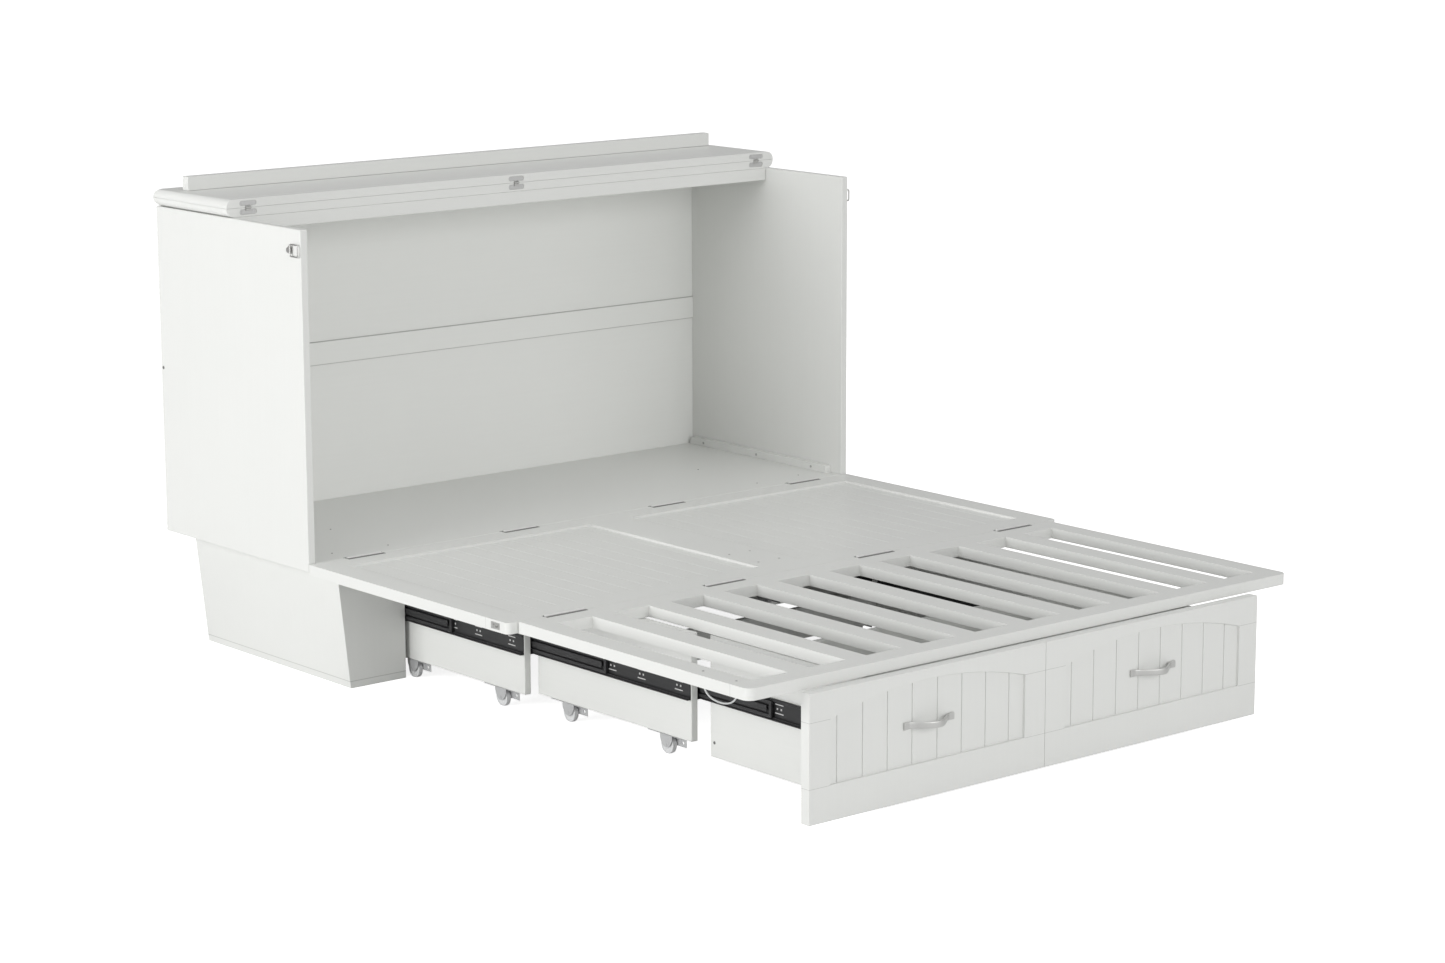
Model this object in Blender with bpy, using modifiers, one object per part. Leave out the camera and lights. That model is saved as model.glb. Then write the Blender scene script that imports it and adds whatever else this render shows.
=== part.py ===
"""Free-standing cabinet bed, shown open: a low chest whose front and folding platform make a bed.

A narrow cabinet stands at the head. Two hinged platform panels lie out in front of it, and under them
three nested stages on ball-bearing slides, with casters, carry the load and end in a drawer.
Metres, +Z up, +X to the right of someone facing the foot, foot end towards -Y.
The origin is on the floor under the middle of the open bed.
"""
import math

import bmesh
import bpy
from mathutils import Vector

# ---- driving dimensions ------------------------------------------------------------------------
GAP = 0.0003          # clearance kept between pieces that touch
WIDTH = 1.635         # cabinet and middle panel, over the side panels
SIDE_T = 0.0187       # side panel thickness
DEPTH = 0.6094        # cabinet depth
FLOOR_BOT = 0.288     # underside of the cabinet floor and of the side panels
DECK = 0.307          # sleeping surface
SIDE_TOP = 1.0659     # top edge of the side panels
BACK_T = 0.018
PANEL_T = 0.0254      # folding panels
TOP_T = 0.0202        # fixed top and flap, each
TOP_SIDE = 0.8225     # half width of the top
TOP_FRONT = -0.3170   # front edge of the fixed top, where the flap hinges
TOP_REAR = 0.004
HANDLE_OUT = 0.028    # how far the drawer handles stand out
FRONT_FACE = -2.1354  # front of the drawer front
FRONT_T = 0.0251

# the cabinet's back is at this Y, so that the open bed is centred on the origin
BACK = (TOP_REAR - (FRONT_FACE - HANDLE_OUT)) / 2 - TOP_REAR

SEAM1 = -0.6104       # cabinet to middle panel hinge line
SEAM2 = -1.3602       # middle to foot panel hinge line
SEAM2_Z = 0.308
FLAP_Y = -0.3175      # flap hinge line
FLAP_Z = 1.0866
FOOT_HALF = 0.790     # half width of the foot panel
FOOT_END = -2.1060
UNDER = DECK - PANEL_T

# boards of the nested stages: outer face and thickness in X, ends in Y
BOARD_T = 0.0175
STAGE1_X = 0.5434
STAGE2_X = 0.5124
DRAWER_X = 0.4814
STAGE1_Y = (-1.0511, -0.5111)
STAGE2_Y = (-1.5955, -1.0589)
DRAWER_Y = (FRONT_FACE + FRONT_T + GAP, -1.6205)
BOARD_BOT = 0.0437
BOARD_TOP = 0.2808
SLIDE_Z = (0.1357, 0.1810)

WHEEL_R = 0.0205
WHEEL_W = 0.0140
AXLE_R = 0.0035
STAGE1_CASTERS = (-0.959, -0.618)
STAGE2_CASTERS = (-1.509, -1.167)

LATCH_Y = -0.5700
LATCH_Z = 1.0185

PAINT = (0.80, 0.80, 0.77)
NICKEL = (0.62, 0.61, 0.58)
BLACK = (0.03, 0.03, 0.032)
ZINC = (0.62, 0.63, 0.65)
WHEEL_GREY = (0.55, 0.56, 0.57)


# ---- scene, collections, materials -------------------------------------------------------------
for old in list(bpy.data.objects):
    bpy.data.objects.remove(old)

bed = bpy.data.collections.new("cabinet_bed")
bpy.context.scene.collection.children.link(bed)
cutters = bpy.data.collections.new("cutters")
bpy.context.scene.collection.children.link(cutters)


def material(name, colour, roughness, metallic=0.0):
    made = bpy.data.materials.new(name)
    made.use_nodes = True
    shader = made.node_tree.nodes["Principled BSDF"]
    shader.inputs["Base Color"].default_value = (*colour, 1.0)
    shader.inputs["Roughness"].default_value = roughness
    shader.inputs["Metallic"].default_value = metallic
    return made


def painted(obj):
    obj.data.materials.append(material(obj.name + "_paint", PAINT, 0.45))
    return obj


def metal(obj, colour, roughness=0.35):
    obj.data.materials.append(material(obj.name + "_metal", colour, roughness, 1.0))
    return obj


# ---- helpers -----------------------------------------------------------------------------------
def pivot(name, x, y, z, parent=None):
    """An empty on a joint's axis. Positions are in the cabinet's own Y, from its back."""
    empty = bpy.data.objects.new(name, None)
    empty.empty_display_size = 0.05
    bed.objects.link(empty)
    empty["spot"] = (x, y + BACK, z)
    put(empty, (x, y, z), parent)
    return empty


def put(obj, spot, parent=None):
    place = Vector((spot[0], spot[1] + BACK, spot[2]))
    if parent:
        obj.parent = parent
        place = place - Vector(parent["spot"])
    obj.location = place


def add(name, mesh, spot, parent=None):
    obj = bpy.data.objects.new(name, mesh)
    bed.objects.link(obj)
    put(obj, spot, parent)
    return obj


def block(bm, x, y, z, centre=(0.0, 0.0, 0.0)):
    """A box between the limits x, y and z, measured from centre."""
    made = bmesh.ops.create_cube(bm, size=1.0)
    for vert in made["verts"]:
        vert.co.x = (x[0] + x[1]) / 2 - centre[0] + vert.co.x * abs(x[1] - x[0])
        vert.co.y = (y[0] + y[1]) / 2 - centre[1] + vert.co.y * abs(y[1] - y[0])
        vert.co.z = (z[0] + z[1]) / 2 - centre[2] + vert.co.z * abs(z[1] - z[0])
    return made["verts"]


def middle(x, y, z):
    return ((x[0] + x[1]) / 2, (y[0] + y[1]) / 2, (z[0] + z[1]) / 2)


def board(name, x, y, z, parent=None, edge=0.0012):
    """A straight board with slightly broken edges."""
    centre = middle(x, y, z)
    bm = bmesh.new()
    block(bm, x, y, z, centre)
    mesh = bpy.data.meshes.new(name)
    bm.to_mesh(mesh)
    bm.free()
    obj = add(name, mesh, centre, parent)
    if edge:
        bevel = obj.modifiers.new("edges", "BEVEL")
        bevel.width = edge
        bevel.segments = 1
    return painted(obj)


def cutter(name, boxes, spot, parent=None):
    """One cutter mesh made of several separate boxes."""
    bm = bmesh.new()
    for x, y, z in boxes:
        block(bm, x, y, z, spot)
    mesh = bpy.data.meshes.new(name)
    bm.to_mesh(mesh)
    bm.free()
    obj = bpy.data.objects.new(name, mesh)
    return hide(obj, spot, parent)


def hide(obj, spot, parent=None):
    cutters.objects.link(obj)
    put(obj, spot, parent)
    obj.display_type = "WIRE"
    obj.hide_render = True
    return obj


def boolean(obj, tool, operation="DIFFERENCE"):
    mod = obj.modifiers.new(operation.lower(), "BOOLEAN")
    mod.operation = operation
    mod.solver = "EXACT"
    mod.object = tool
    return mod


def rod(bm, radius, x, y, z, sides=16):
    """A round bar along X between x[0] and x[1]."""
    made = bmesh.ops.create_cone(
        bm, cap_ends=True, segments=sides, radius1=radius, radius2=radius, depth=x[1] - x[0]
    )
    for vert in made["verts"]:
        turned = (vert.co.z + (x[0] + x[1]) / 2, vert.co.x + y, vert.co.y + z)
        vert.co = turned


def pair(x):
    """Left and right: a name and a sign for X, and limits mirrored to that side."""
    return (("left", -1, (-x[1], -x[0])), ("right", 1, (x[0], x[1])))


# ---- cabinet -----------------------------------------------------------------------------------
HINGE_X = (-0.667, -0.224, 0.224, 0.667)
FLAP_HINGE_X = (-0.765, 0.0, 0.765)
INSIDE = WIDTH / 2 - SIDE_T


def side_panels():
    for side, _, x in pair((INSIDE, WIDTH / 2)):
        board(side + "_side_panel", x, (-DEPTH, 0.0), (FLOOR_BOT, SIDE_TOP))


def cabinet_floor():
    x = (-INSIDE + GAP, INSIDE - GAP)
    y = (-DEPTH, -BACK_T - GAP)
    obj = board("cabinet_floor", x, y, (FLOOR_BOT, DECK))
    boxes = [((c - 0.05, c + 0.05), (-DEPTH - 0.01, -DEPTH + 0.007), (0.297, 0.32)) for c in HINGE_X]
    boolean(obj, cutter("cut_floor_hinges", boxes, (0.0, -DEPTH, DECK)))


def back_panel():
    """Back of the cabinet with a flat rail across it."""
    x = (-INSIDE + GAP, INSIDE - GAP)
    spot = (0.0, 0.0, 0.6)
    bm = bmesh.new()
    block(bm, x, (-BACK_T, 0.0), (FLOOR_BOT, SIDE_TOP - GAP), spot)
    block(bm, x, (-BACK_T - 0.003, -BACK_T + 0.006), (0.6438, 0.7005), spot)
    mesh = bpy.data.meshes.new("back_panel")
    bm.to_mesh(mesh)
    bm.free()
    obj = add("back_panel", mesh, spot)
    join_bodies(obj)
    painted(obj)


def join_bodies(obj):
    """Makes overlapping closed bodies of one mesh a single one."""
    mod = obj.modifiers.new("union", "BOOLEAN")
    mod.operation = "UNION"
    mod.solver = "EXACT"
    mod.use_self = True
    seed = bmesh.new()
    corner = min((v.co for v in obj.data.vertices), key=lambda c: (c.x, c.y, c.z))
    block(
        seed,
        (corner.x + 0.0005, corner.x + 0.0010),
        (corner.y + 0.0005, corner.y + 0.0010),
        (corner.z + 0.0005, corner.z + 0.0010),
    )
    mesh = bpy.data.meshes.new(obj.name + "_seed")
    seed.to_mesh(mesh)
    seed.free()
    tool = bpy.data.objects.new(obj.name + "_seed", mesh)
    cutters.objects.link(tool)
    tool.parent = obj
    tool.display_type = "WIRE"
    tool.hide_render = True
    mod.object = tool


def round_edges(bm, radius, wanted, segments=4):
    chosen = [edge for edge in bm.edges if wanted(*(vert.co for vert in edge.verts))]
    bmesh.ops.bevel(
        bm, geom=chosen, offset=radius, segments=segments, profile=0.5, affect="EDGES"
    )


def top_slab(name, z, rounded_z, spot, parent=None):
    """One of the two boards of the top; its outer edge is rounded all round but at the hinge."""
    bm = bmesh.new()
    block(bm, (-TOP_SIDE, TOP_SIDE), (TOP_FRONT, TOP_REAR), z, spot)
    level = rounded_z - spot[2]
    front = TOP_FRONT - spot[1]
    round_edges(
        bm,
        0.0125,
        lambda a, b: abs(a.z - level) < 1e-6
        and abs(b.z - level) < 1e-6
        and not (abs(a.y - front) < 1e-6 and abs(b.y - front) < 1e-6),
    )
    mesh = bpy.data.meshes.new(name)
    bm.to_mesh(mesh)
    bm.free()
    return painted(add(name, mesh, spot, parent))


def fixed_top():
    low = SIDE_TOP + GAP
    spot = (0.0, TOP_FRONT, low)
    obj = top_slab("top_board", (low, low + TOP_T), low, spot)
    boxes = [
        ((c - 0.026, c + 0.026), (TOP_FRONT - 0.01, TOP_FRONT + 0.011), (1.0705, 1.10))
        for c in FLAP_HINGE_X
    ]
    boolean(obj, cutter("cut_top_hinges", boxes, spot))


def top_apron():
    x = (-INSIDE + GAP, INSIDE - GAP)
    board("top_apron", x, (TOP_FRONT, TOP_FRONT + 0.018), (1.0345, SIDE_TOP))


def pedestals():
    """Two plinth boxes under the cabinet; the outer face leans in towards the floor."""
    for side, sign, x in pair((0.5569, 0.7423)):
        spot = (sign * 0.6496, -DEPTH / 2, 0.144)
        obj = plinth(side + "_pedestal", x, (-DEPTH, 0.0), (0.0, FLOOR_BOT - GAP), spot, sign, bed)
        put(obj, spot)
        inner = plinth(
            side + "_pedestal_hollow",
            (x[0] + 0.018, x[1] - 0.018),
            (-DEPTH + 0.018, -0.018),
            (-0.02, FLOOR_BOT - 0.02),
            spot,
            sign,
            cutters,
        )
        put(inner, spot)
        inner.display_type = "WIRE"
        inner.hide_render = True
        boolean(obj, inner)
        painted(obj)


def plinth(name, x, y, z, spot, sign, where):
    """A box whose outer face leans in by LEAN for each metre down."""
    lean = 0.1097
    bm = bmesh.new()
    verts = block(bm, x, y, z, spot)
    outer = max(abs(x[0]), abs(x[1])) - 1e-6
    for vert in verts:
        if abs(vert.co.x + spot[0]) > outer:
            drop = FLOOR_BOT - GAP - (vert.co.z + spot[2])
            vert.co.x -= sign * lean * drop
    mesh = bpy.data.meshes.new(name)
    bm.to_mesh(mesh)
    bm.free()
    obj = bpy.data.objects.new(name, mesh)
    where.objects.link(obj)
    return obj


def pin_hinge(name, c, y, z, half, radius, leaf_y, leaf_z, parent=None):
    """A hinge: a knuckle on the axis and the leaf let into the piece behind it."""
    spot = (c, y, z)
    bm = bmesh.new()
    rod(bm, radius, (-half, half), 0.0, 0.0)
    block(bm, (c - half + 0.001, c + half - 0.001), leaf_y, leaf_z, spot)
    mesh = bpy.data.meshes.new(name)
    bm.to_mesh(mesh)
    bm.free()
    obj = add(name, mesh, spot, parent)
    join_bodies(obj)
    return metal(obj, NICKEL)


def flap_hinges():
    for i, c in enumerate(FLAP_HINGE_X):
        pin_hinge(
            f"flap_hinge_{i + 1}", c, FLAP_Y, FLAP_Z, 0.0235, 0.003,
            (TOP_FRONT + 0.0004, TOP_FRONT + 0.0095), (1.0712, 1.0862),
        )


def deck_hinges():
    for i, c in enumerate(HINGE_X):
        pin_hinge(
            f"deck_hinge_{i + 1}", c, SEAM1, DECK, 0.047, 0.0025,
            (-DEPTH - 0.0006, -DEPTH + 0.0062), (0.2975, 0.3063),
        )


# ---- flap --------------------------------------------------------------------------------------
def flap(axis):
    low = SIDE_TOP + 2 * GAP + TOP_T + 0.0002
    spot = (0.0, TOP_FRONT, low)
    obj = top_slab("top_flap", (low, low + TOP_T), low + TOP_T, spot, axis)
    boxes = [
        ((c - 0.026, c + 0.026), (TOP_FRONT - 0.01, TOP_FRONT + 0.011), (1.08, 1.1030))
        for c in FLAP_HINGE_X
    ]
    boolean(obj, cutter("cut_flap_hinges", boxes, spot, axis))
    top = low + TOP_T + GAP
    board("flap_rail", (-0.790, 0.790), (-0.100, -0.076), (top, top + 0.033), axis)


# ---- folding platform --------------------------------------------------------------------------
RECESS_X = (0.061, 0.754)
RECESS_Y = (-1.2875, -0.677)
RECESS_D = 0.006
SLOT_W = 0.095
SLOT_PITCH = 0.153
SLOT_Y = (-2.051, -1.424)


def middle_panel(axis):
    y = (SEAM2 + 0.0005, SEAM1 - 0.0005)
    obj = board("mid_panel", (-WIDTH / 2, WIDTH / 2), y, (UNDER, DECK), axis)
    low = DECK - RECESS_D
    boxes = [(x, RECESS_Y, (low, DECK + 0.01)) for _, _, x in pair(RECESS_X)]
    for c in HINGE_X:
        boxes.append(((c - 0.05, c + 0.05), (y[1] - 0.007, y[1] + 0.01), (0.297, DECK + 0.01)))
        boxes.append(((c - 0.055, c + 0.055), (y[0] - 0.01, y[0] + 0.007), (0.297, DECK + 0.01)))
    boolean(obj, cutter("cut_mid", boxes, (0.0, -1.0, DECK), axis))


def fold_hinges(axis):
    for i, c in enumerate(HINGE_X):
        pin_hinge(
            f"fold_hinge_{i + 1}", c, SEAM2, SEAM2_Z, 0.052, 0.0025,
            (SEAM2 + 0.0002, SEAM2 + 0.0068), (0.2975, 0.3066), axis,
        )


def foot_deck(axis):
    """The slatted foot panel: ten slots between nine slats, square rails round them."""
    x = (-FOOT_HALF, FOOT_HALF)
    y = (FOOT_END, SEAM2 - 0.0005)
    z = (UNDER, DECK)
    centre = middle(x, y, z)
    bm = bmesh.new()
    block(bm, x, y, z, centre)
    end = y[0] - centre[1]
    round_edges(
        bm,
        0.018,
        lambda a, b: abs(a.x - b.x) < 1e-6 and abs(a.y - end) < 1e-6 and abs(b.y - end) < 1e-6,
    )
    mesh = bpy.data.meshes.new("foot_deck")
    bm.to_mesh(mesh)
    bm.free()
    obj = add("foot_deck", mesh, centre, axis)
    boxes = []
    for i in range(10):
        c = (i - 4.5) * SLOT_PITCH
        boxes.append(((c - SLOT_W / 2, c + SLOT_W / 2), SLOT_Y, (UNDER - 0.01, DECK + 0.01)))
    for c in HINGE_X:
        boxes.append(((c - 0.055, c + 0.055), (y[1] - 0.007, y[1] + 0.01), (0.297, DECK + 0.01)))
    boolean(obj, cutter("cut_foot", boxes, centre, axis))
    painted(obj)


# ---- nested stages -----------------------------------------------------------------------------
def stage_boards(stage, outer, y, axis):
    for side, _, x in pair((outer - BOARD_T, outer)):
        board(f"stage{stage}_{side}_board", x, y, (BOARD_BOT, BOARD_TOP), axis)


def notch_stage2(axis):
    """The rear top corner of each stage 2 board is cut back."""
    for side, _, x in pair((STAGE2_X - BOARD_T - 0.01, STAGE2_X + 0.01)):
        obj = bpy.data.objects[f"stage2_{side}_board"]
        box = [(x, (-1.075, -1.04), (0.185, 0.30))]
        boolean(obj, cutter(f"cut_stage2_{side}", box, (0.0, -1.06, 0.2), axis))


def slide(name, face, sign, y, thick_to, axis):
    """Moving half of a ball-bearing slide: a channel open outwards, with the telescoping member
    behind, which fills it from the rear end as far as thick_to."""
    near = face + GAP
    far = face + 0.0127
    spot = (sign * near, (y[0] + y[1]) / 2, sum(SLIDE_Z) / 2)
    bm = bmesh.new()

    def bar(x, yy, z):
        block(bm, (sign * x[0], sign * x[1]), yy, z, spot)

    bar((near, near + 0.0022), y, SLIDE_Z)
    bar((near, far), y, (SLIDE_Z[0], SLIDE_Z[0] + 0.004))
    bar((near, far), y, (SLIDE_Z[1] - 0.004, SLIDE_Z[1]))
    bar((near + 0.001, far - 0.002), (thick_to, y[1] - 0.001), (SLIDE_Z[0] + 0.002, SLIDE_Z[1] - 0.002))
    mesh = bpy.data.meshes.new(name)
    bm.to_mesh(mesh)
    bm.free()
    obj = add(name, mesh, spot, axis)
    join_bodies(obj)
    return metal(obj, BLACK, 0.5)


def slides(stage, outer, y, thick_to, axis):
    for side, sign, _ in pair((0.0, 1.0)):
        slide(f"stage{stage}_{side}_slide", outer, sign, y, thick_to, axis)


def wheel_mesh():
    """A wheel about the X axis with a bore for its axle."""
    bm = bmesh.new()
    rod(bm, WHEEL_R, (-WHEEL_W / 2, WHEEL_W / 2), 0.0, 0.0, 32)
    mesh = bpy.data.meshes.new("caster_wheel")
    bm.to_mesh(mesh)
    bm.free()
    return mesh


def casters(stage, outer, where, axis):
    """Fixed casters under both boards of a stage: bracket with two cheeks and an axle, and wheel."""
    centre = outer - BOARD_T / 2
    for side, sign, _ in pair((0.0, 1.0)):
        for end, y in zip(("front", "rear"), where):
            spot = (sign * centre, y, WHEEL_R)
            bracket(f"stage{stage}_{side}_{end}_bracket", spot, axis)
            hub = pivot(f"stage{stage}_{side}_{end}_axle", *spot, axis)
            wheel = add(f"stage{stage}_{side}_{end}_wheel", wheel_mesh(), spot, hub)
            bore = bmesh.new()
            rod(bore, AXLE_R + 0.0004, (-0.02, 0.02), 0.0, 0.0, 16)
            mesh = bpy.data.meshes.new("bore")
            bore.to_mesh(mesh)
            bore.free()
            tool = bpy.data.objects.new(f"bore_{wheel.name}", mesh)
            boolean(wheel, hide(tool, spot, hub))
            wheel.data.materials.append(material(wheel.name + "_tread", WHEEL_GREY, 0.5))
            wheel.data.shade_smooth()
            wheel.data.set_sharp_from_angle(angle=math.radians(40))


def bracket(name, spot, axis):
    """Top plate along the board's lower edge, two rounded cheeks, the axle, and a front tab."""
    bm = bmesh.new()
    half = WHEEL_W / 2 + 0.0006
    top = BOARD_BOT - GAP - spot[2]
    for x in ((-half - 0.0016, -half), (half, half + 0.0016)):
        rod(bm, 0.0165, x, 0.0, 0.0, 24)
        block(bm, x, (-0.0165, 0.0165), (-0.001, top - 0.0005))
    block(bm, (-half - 0.0016, half + 0.0016), (-0.050, 0.062), (top - 0.0014, top))
    block(bm, (half, half + 0.0016), (-0.050, -0.0195), (-0.0010, top - 0.0005))
    rod(bm, AXLE_R, (-half - 0.0010, half + 0.0010), 0.0, 0.0)
    mesh = bpy.data.meshes.new(name)
    bm.to_mesh(mesh)
    bm.free()
    obj = add(name, mesh, spot, axis)
    join_bodies(obj)
    return metal(obj, ZINC, 0.4)


def cross_rails(axis1, axis2):
    x = STAGE1_X
    board("stage1_cross_rail", (-x, x), (STAGE1_Y[1] + GAP, STAGE1_Y[1] + 0.0178), (0.05, 0.125), axis1)
    x = STAGE2_X - BOARD_T - GAP
    board("stage2_cross_rail", (-x, x), (STAGE2_Y[1] - 0.0175, STAGE2_Y[1]), (0.05, 0.125), axis2)


# ---- drawer ------------------------------------------------------------------------------------
DOOR_X = (0.0595, 0.601)
DOOR_LOW = 0.085
DOOR_SPRING = 0.2205
DOOR_CROWN = 0.258
FIELD_D = 0.006
HANDLE_Z = 0.168
HANDLE_HALF = 0.0695


def arch_points(x):
    """Outline of a door field with a shallow arch across its top."""
    half = (x[1] - x[0]) / 2
    rise = DOOR_CROWN - DOOR_SPRING
    radius = (half * half + rise * rise) / (2 * rise)
    mid = (x[0] + x[1]) / 2
    swing = math.asin(half / radius)
    points = [(x[0], DOOR_LOW), (x[1], DOOR_LOW)]
    steps = 12
    for i in range(steps + 1):
        angle = swing - 2 * swing * i / steps
        points.append((mid + radius * math.sin(angle), DOOR_CROWN - radius * (1 - math.cos(angle))))
    return points


def arch_cutter(name, x, axis):
    curve = bpy.data.curves.new(name, "CURVE")
    curve.dimensions = "2D"
    curve.fill_mode = "BOTH"
    curve.extrude = 0.01
    spline = curve.splines.new("POLY")
    points = arch_points(x)
    spline.points.add(len(points) - 1)
    for point, (px, pz) in zip(spline.points, points):
        point.co = (px, pz, 0.0, 1.0)
    spline.use_cyclic_u = True
    flat = bpy.data.objects.new(name + "_outline", curve)
    cutters.objects.link(flat)
    bpy.context.view_layer.update()
    mesh = bpy.data.meshes.new_from_object(flat.evaluated_get(bpy.context.evaluated_depsgraph_get()))
    bpy.data.objects.remove(flat)
    bm = bmesh.new()
    bm.from_mesh(mesh)
    bmesh.ops.remove_doubles(bm, verts=bm.verts, dist=0.00001)
    for vert in bm.verts:
        vert.co = (vert.co.x, -vert.co.z, vert.co.y)
    bmesh.ops.recalc_face_normals(bm, faces=bm.faces)
    bm.to_mesh(mesh)
    bm.free()
    return hide(bpy.data.objects.new(name, mesh), (0.0, FRONT_FACE + FIELD_D - 0.01, 0.0), axis)


def drawer_front(axis):
    """Drawer front made to look like two low doors with arched fields."""
    obj = board(
        "drawer_front", (-0.658, 0.658), (FRONT_FACE, FRONT_FACE + FRONT_T), (0.0104, BOARD_TOP), axis
    )
    for side, _, x in pair(DOOR_X):
        boolean(obj, arch_cutter(f"cut_{side}_field", x, axis))
    split = [((-0.0015, 0.0015), (FRONT_FACE - 0.01, FRONT_FACE + 0.003), (-0.01, 0.32))]
    boolean(obj, cutter("cut_door_split", split, (0.0, FRONT_FACE, 0.15), axis))


def drawer_box(axis):
    inner = DRAWER_X - BOARD_T
    for side, _, x in pair((inner, DRAWER_X)):
        board(f"drawer_{side}_side", x, (DRAWER_Y[0], DRAWER_Y[1]), (0.0125, 0.2780), axis)
    x = (-inner + GAP, inner - GAP)
    board("drawer_back", x, (DRAWER_Y[1] - BOARD_T, DRAWER_Y[1]), (0.0345, 0.2200), axis)
    board("drawer_bottom", x, (DRAWER_Y[0], DRAWER_Y[1]), (0.0200, 0.0340), axis)


def handle(name, centre, axis):
    """Bowed bar handle with flat feet."""
    face = FRONT_FACE + FIELD_D - GAP
    out = FRONT_FACE - HANDLE_OUT + 0.004
    spot = (centre, face, HANDLE_Z)
    curve = bpy.data.curves.new(name, "CURVE")
    curve.dimensions = "3D"
    curve.bevel_depth = 0.004
    curve.bevel_resolution = 2
    curve.use_fill_caps = True
    spline = curve.splines.new("POLY")
    steps = 12
    span = HANDLE_HALF - 0.016
    spline.points.add(steps)
    for i, point in enumerate(spline.points):
        t = i / steps
        bow = math.sin(math.pi * t) ** 0.8 if 0 < i < steps else 0.0
        point.co = (-span + 2 * span * t, -0.003 + (out - face + 0.003) * bow, 0.0, 1.0)
    tube = bpy.data.objects.new(name + "_bow", curve)
    cutters.objects.link(tube)
    bpy.context.view_layer.update()
    mesh = bpy.data.meshes.new_from_object(tube.evaluated_get(bpy.context.evaluated_depsgraph_get()))
    bpy.data.objects.remove(tube)
    bm = bmesh.new()
    bm.from_mesh(mesh)
    bmesh.ops.remove_doubles(bm, verts=bm.verts, dist=0.00001)
    for end in (-1, 1):
        block(
            bm,
            tuple(sorted((end * (span - 0.008), end * HANDLE_HALF))),
            (-0.0045, 0.0),
            (-0.0080, 0.0080),
        )
    bmesh.ops.recalc_face_normals(bm, faces=bm.faces)
    bm.to_mesh(mesh)
    bm.free()
    obj = add(name, mesh, spot, axis)
    join_bodies(obj)
    return metal(obj, NICKEL, 0.3)


# ---- side latches ------------------------------------------------------------------------------
LOOP_Y = (-0.6070, -0.5780)
LOOP_Z = (1.0050, 1.0320)
WIRE_R = 0.0018


def latch_loop(name, sign):
    """A wire loop turning on a round boss near the top front of the side panel's outer face."""
    face = WIDTH / 2 + GAP
    spot = (sign * (face + 0.0045), LATCH_Y, LATCH_Z)
    axis = pivot(name + "_axis", *spot)
    y = (LOOP_Y[0] - LATCH_Y, LOOP_Y[1] - LATCH_Y)
    z = (LOOP_Z[0] - LATCH_Z, LOOP_Z[1] - LATCH_Z)
    bm = bmesh.new()
    rod(bm, 0.0100, (-0.0045, 0.0045), 0.0, 0.0, 24)
    flat = (-WIRE_R, WIRE_R)
    for end in z:
        block(bm, flat, y, (end - WIRE_R, end + WIRE_R))
    for end in y:
        block(bm, flat, (end - WIRE_R, end + WIRE_R), (z[0] - WIRE_R, z[1] + WIRE_R))
    mesh = bpy.data.meshes.new(name)
    bm.to_mesh(mesh)
    bm.free()
    obj = add(name, mesh, spot, axis)
    join_bodies(obj)
    return metal(obj, NICKEL, 0.3)


# ---- assembly ----------------------------------------------------------------------------------
def build_bed():
    side_panels()
    cabinet_floor()
    back_panel()
    fixed_top()
    top_apron()
    pedestals()
    flap_hinges()
    deck_hinges()
    flap(pivot("flap_axis", 0.0, FLAP_Y, FLAP_Z))
    mid_axis = pivot("mid_axis", 0.0, SEAM1, DECK)
    middle_panel(mid_axis)
    fold_hinges(mid_axis)
    foot_deck(pivot("foot_axis", 0.0, SEAM2, SEAM2_Z, mid_axis))
    stage1 = pivot("stage1_axis", 0.0, STAGE1_Y[0], 0.158)
    stage2 = pivot("stage2_axis", 0.0, STAGE2_Y[0], 0.158, stage1)
    drawer = pivot("drawer_axis", 0.0, FRONT_FACE, 0.158, stage2)
    stage_boards(1, STAGE1_X, STAGE1_Y, stage1)
    stage_boards(2, STAGE2_X, STAGE2_Y, stage2)
    notch_stage2(stage2)
    slides(1, STAGE1_X, (-1.0500, -0.5600), -0.784, stage1)
    slides(2, STAGE2_X, (-1.5940, -1.0300), -1.312, stage2)
    slides(3, DRAWER_X, (-2.1085, -1.5800), -1.824, drawer)
    casters(1, STAGE1_X, STAGE1_CASTERS, stage1)
    casters(2, STAGE2_X, STAGE2_CASTERS, stage2)
    cross_rails(stage1, stage2)
    drawer_front(drawer)
    drawer_box(drawer)
    handle("drawer_left_handle", -0.330, drawer)
    handle("drawer_right_handle", 0.330, drawer)
    latch_loop("left_latch_loop", -1)
    latch_loop("right_latch_loop", 1)


build_bed()
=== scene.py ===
"""Looks of the free-standing cabinet bed: boards, hinges, slides, casters and handles."""
import math

import bmesh
import bpy
from mathutils import Matrix, Vector


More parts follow.
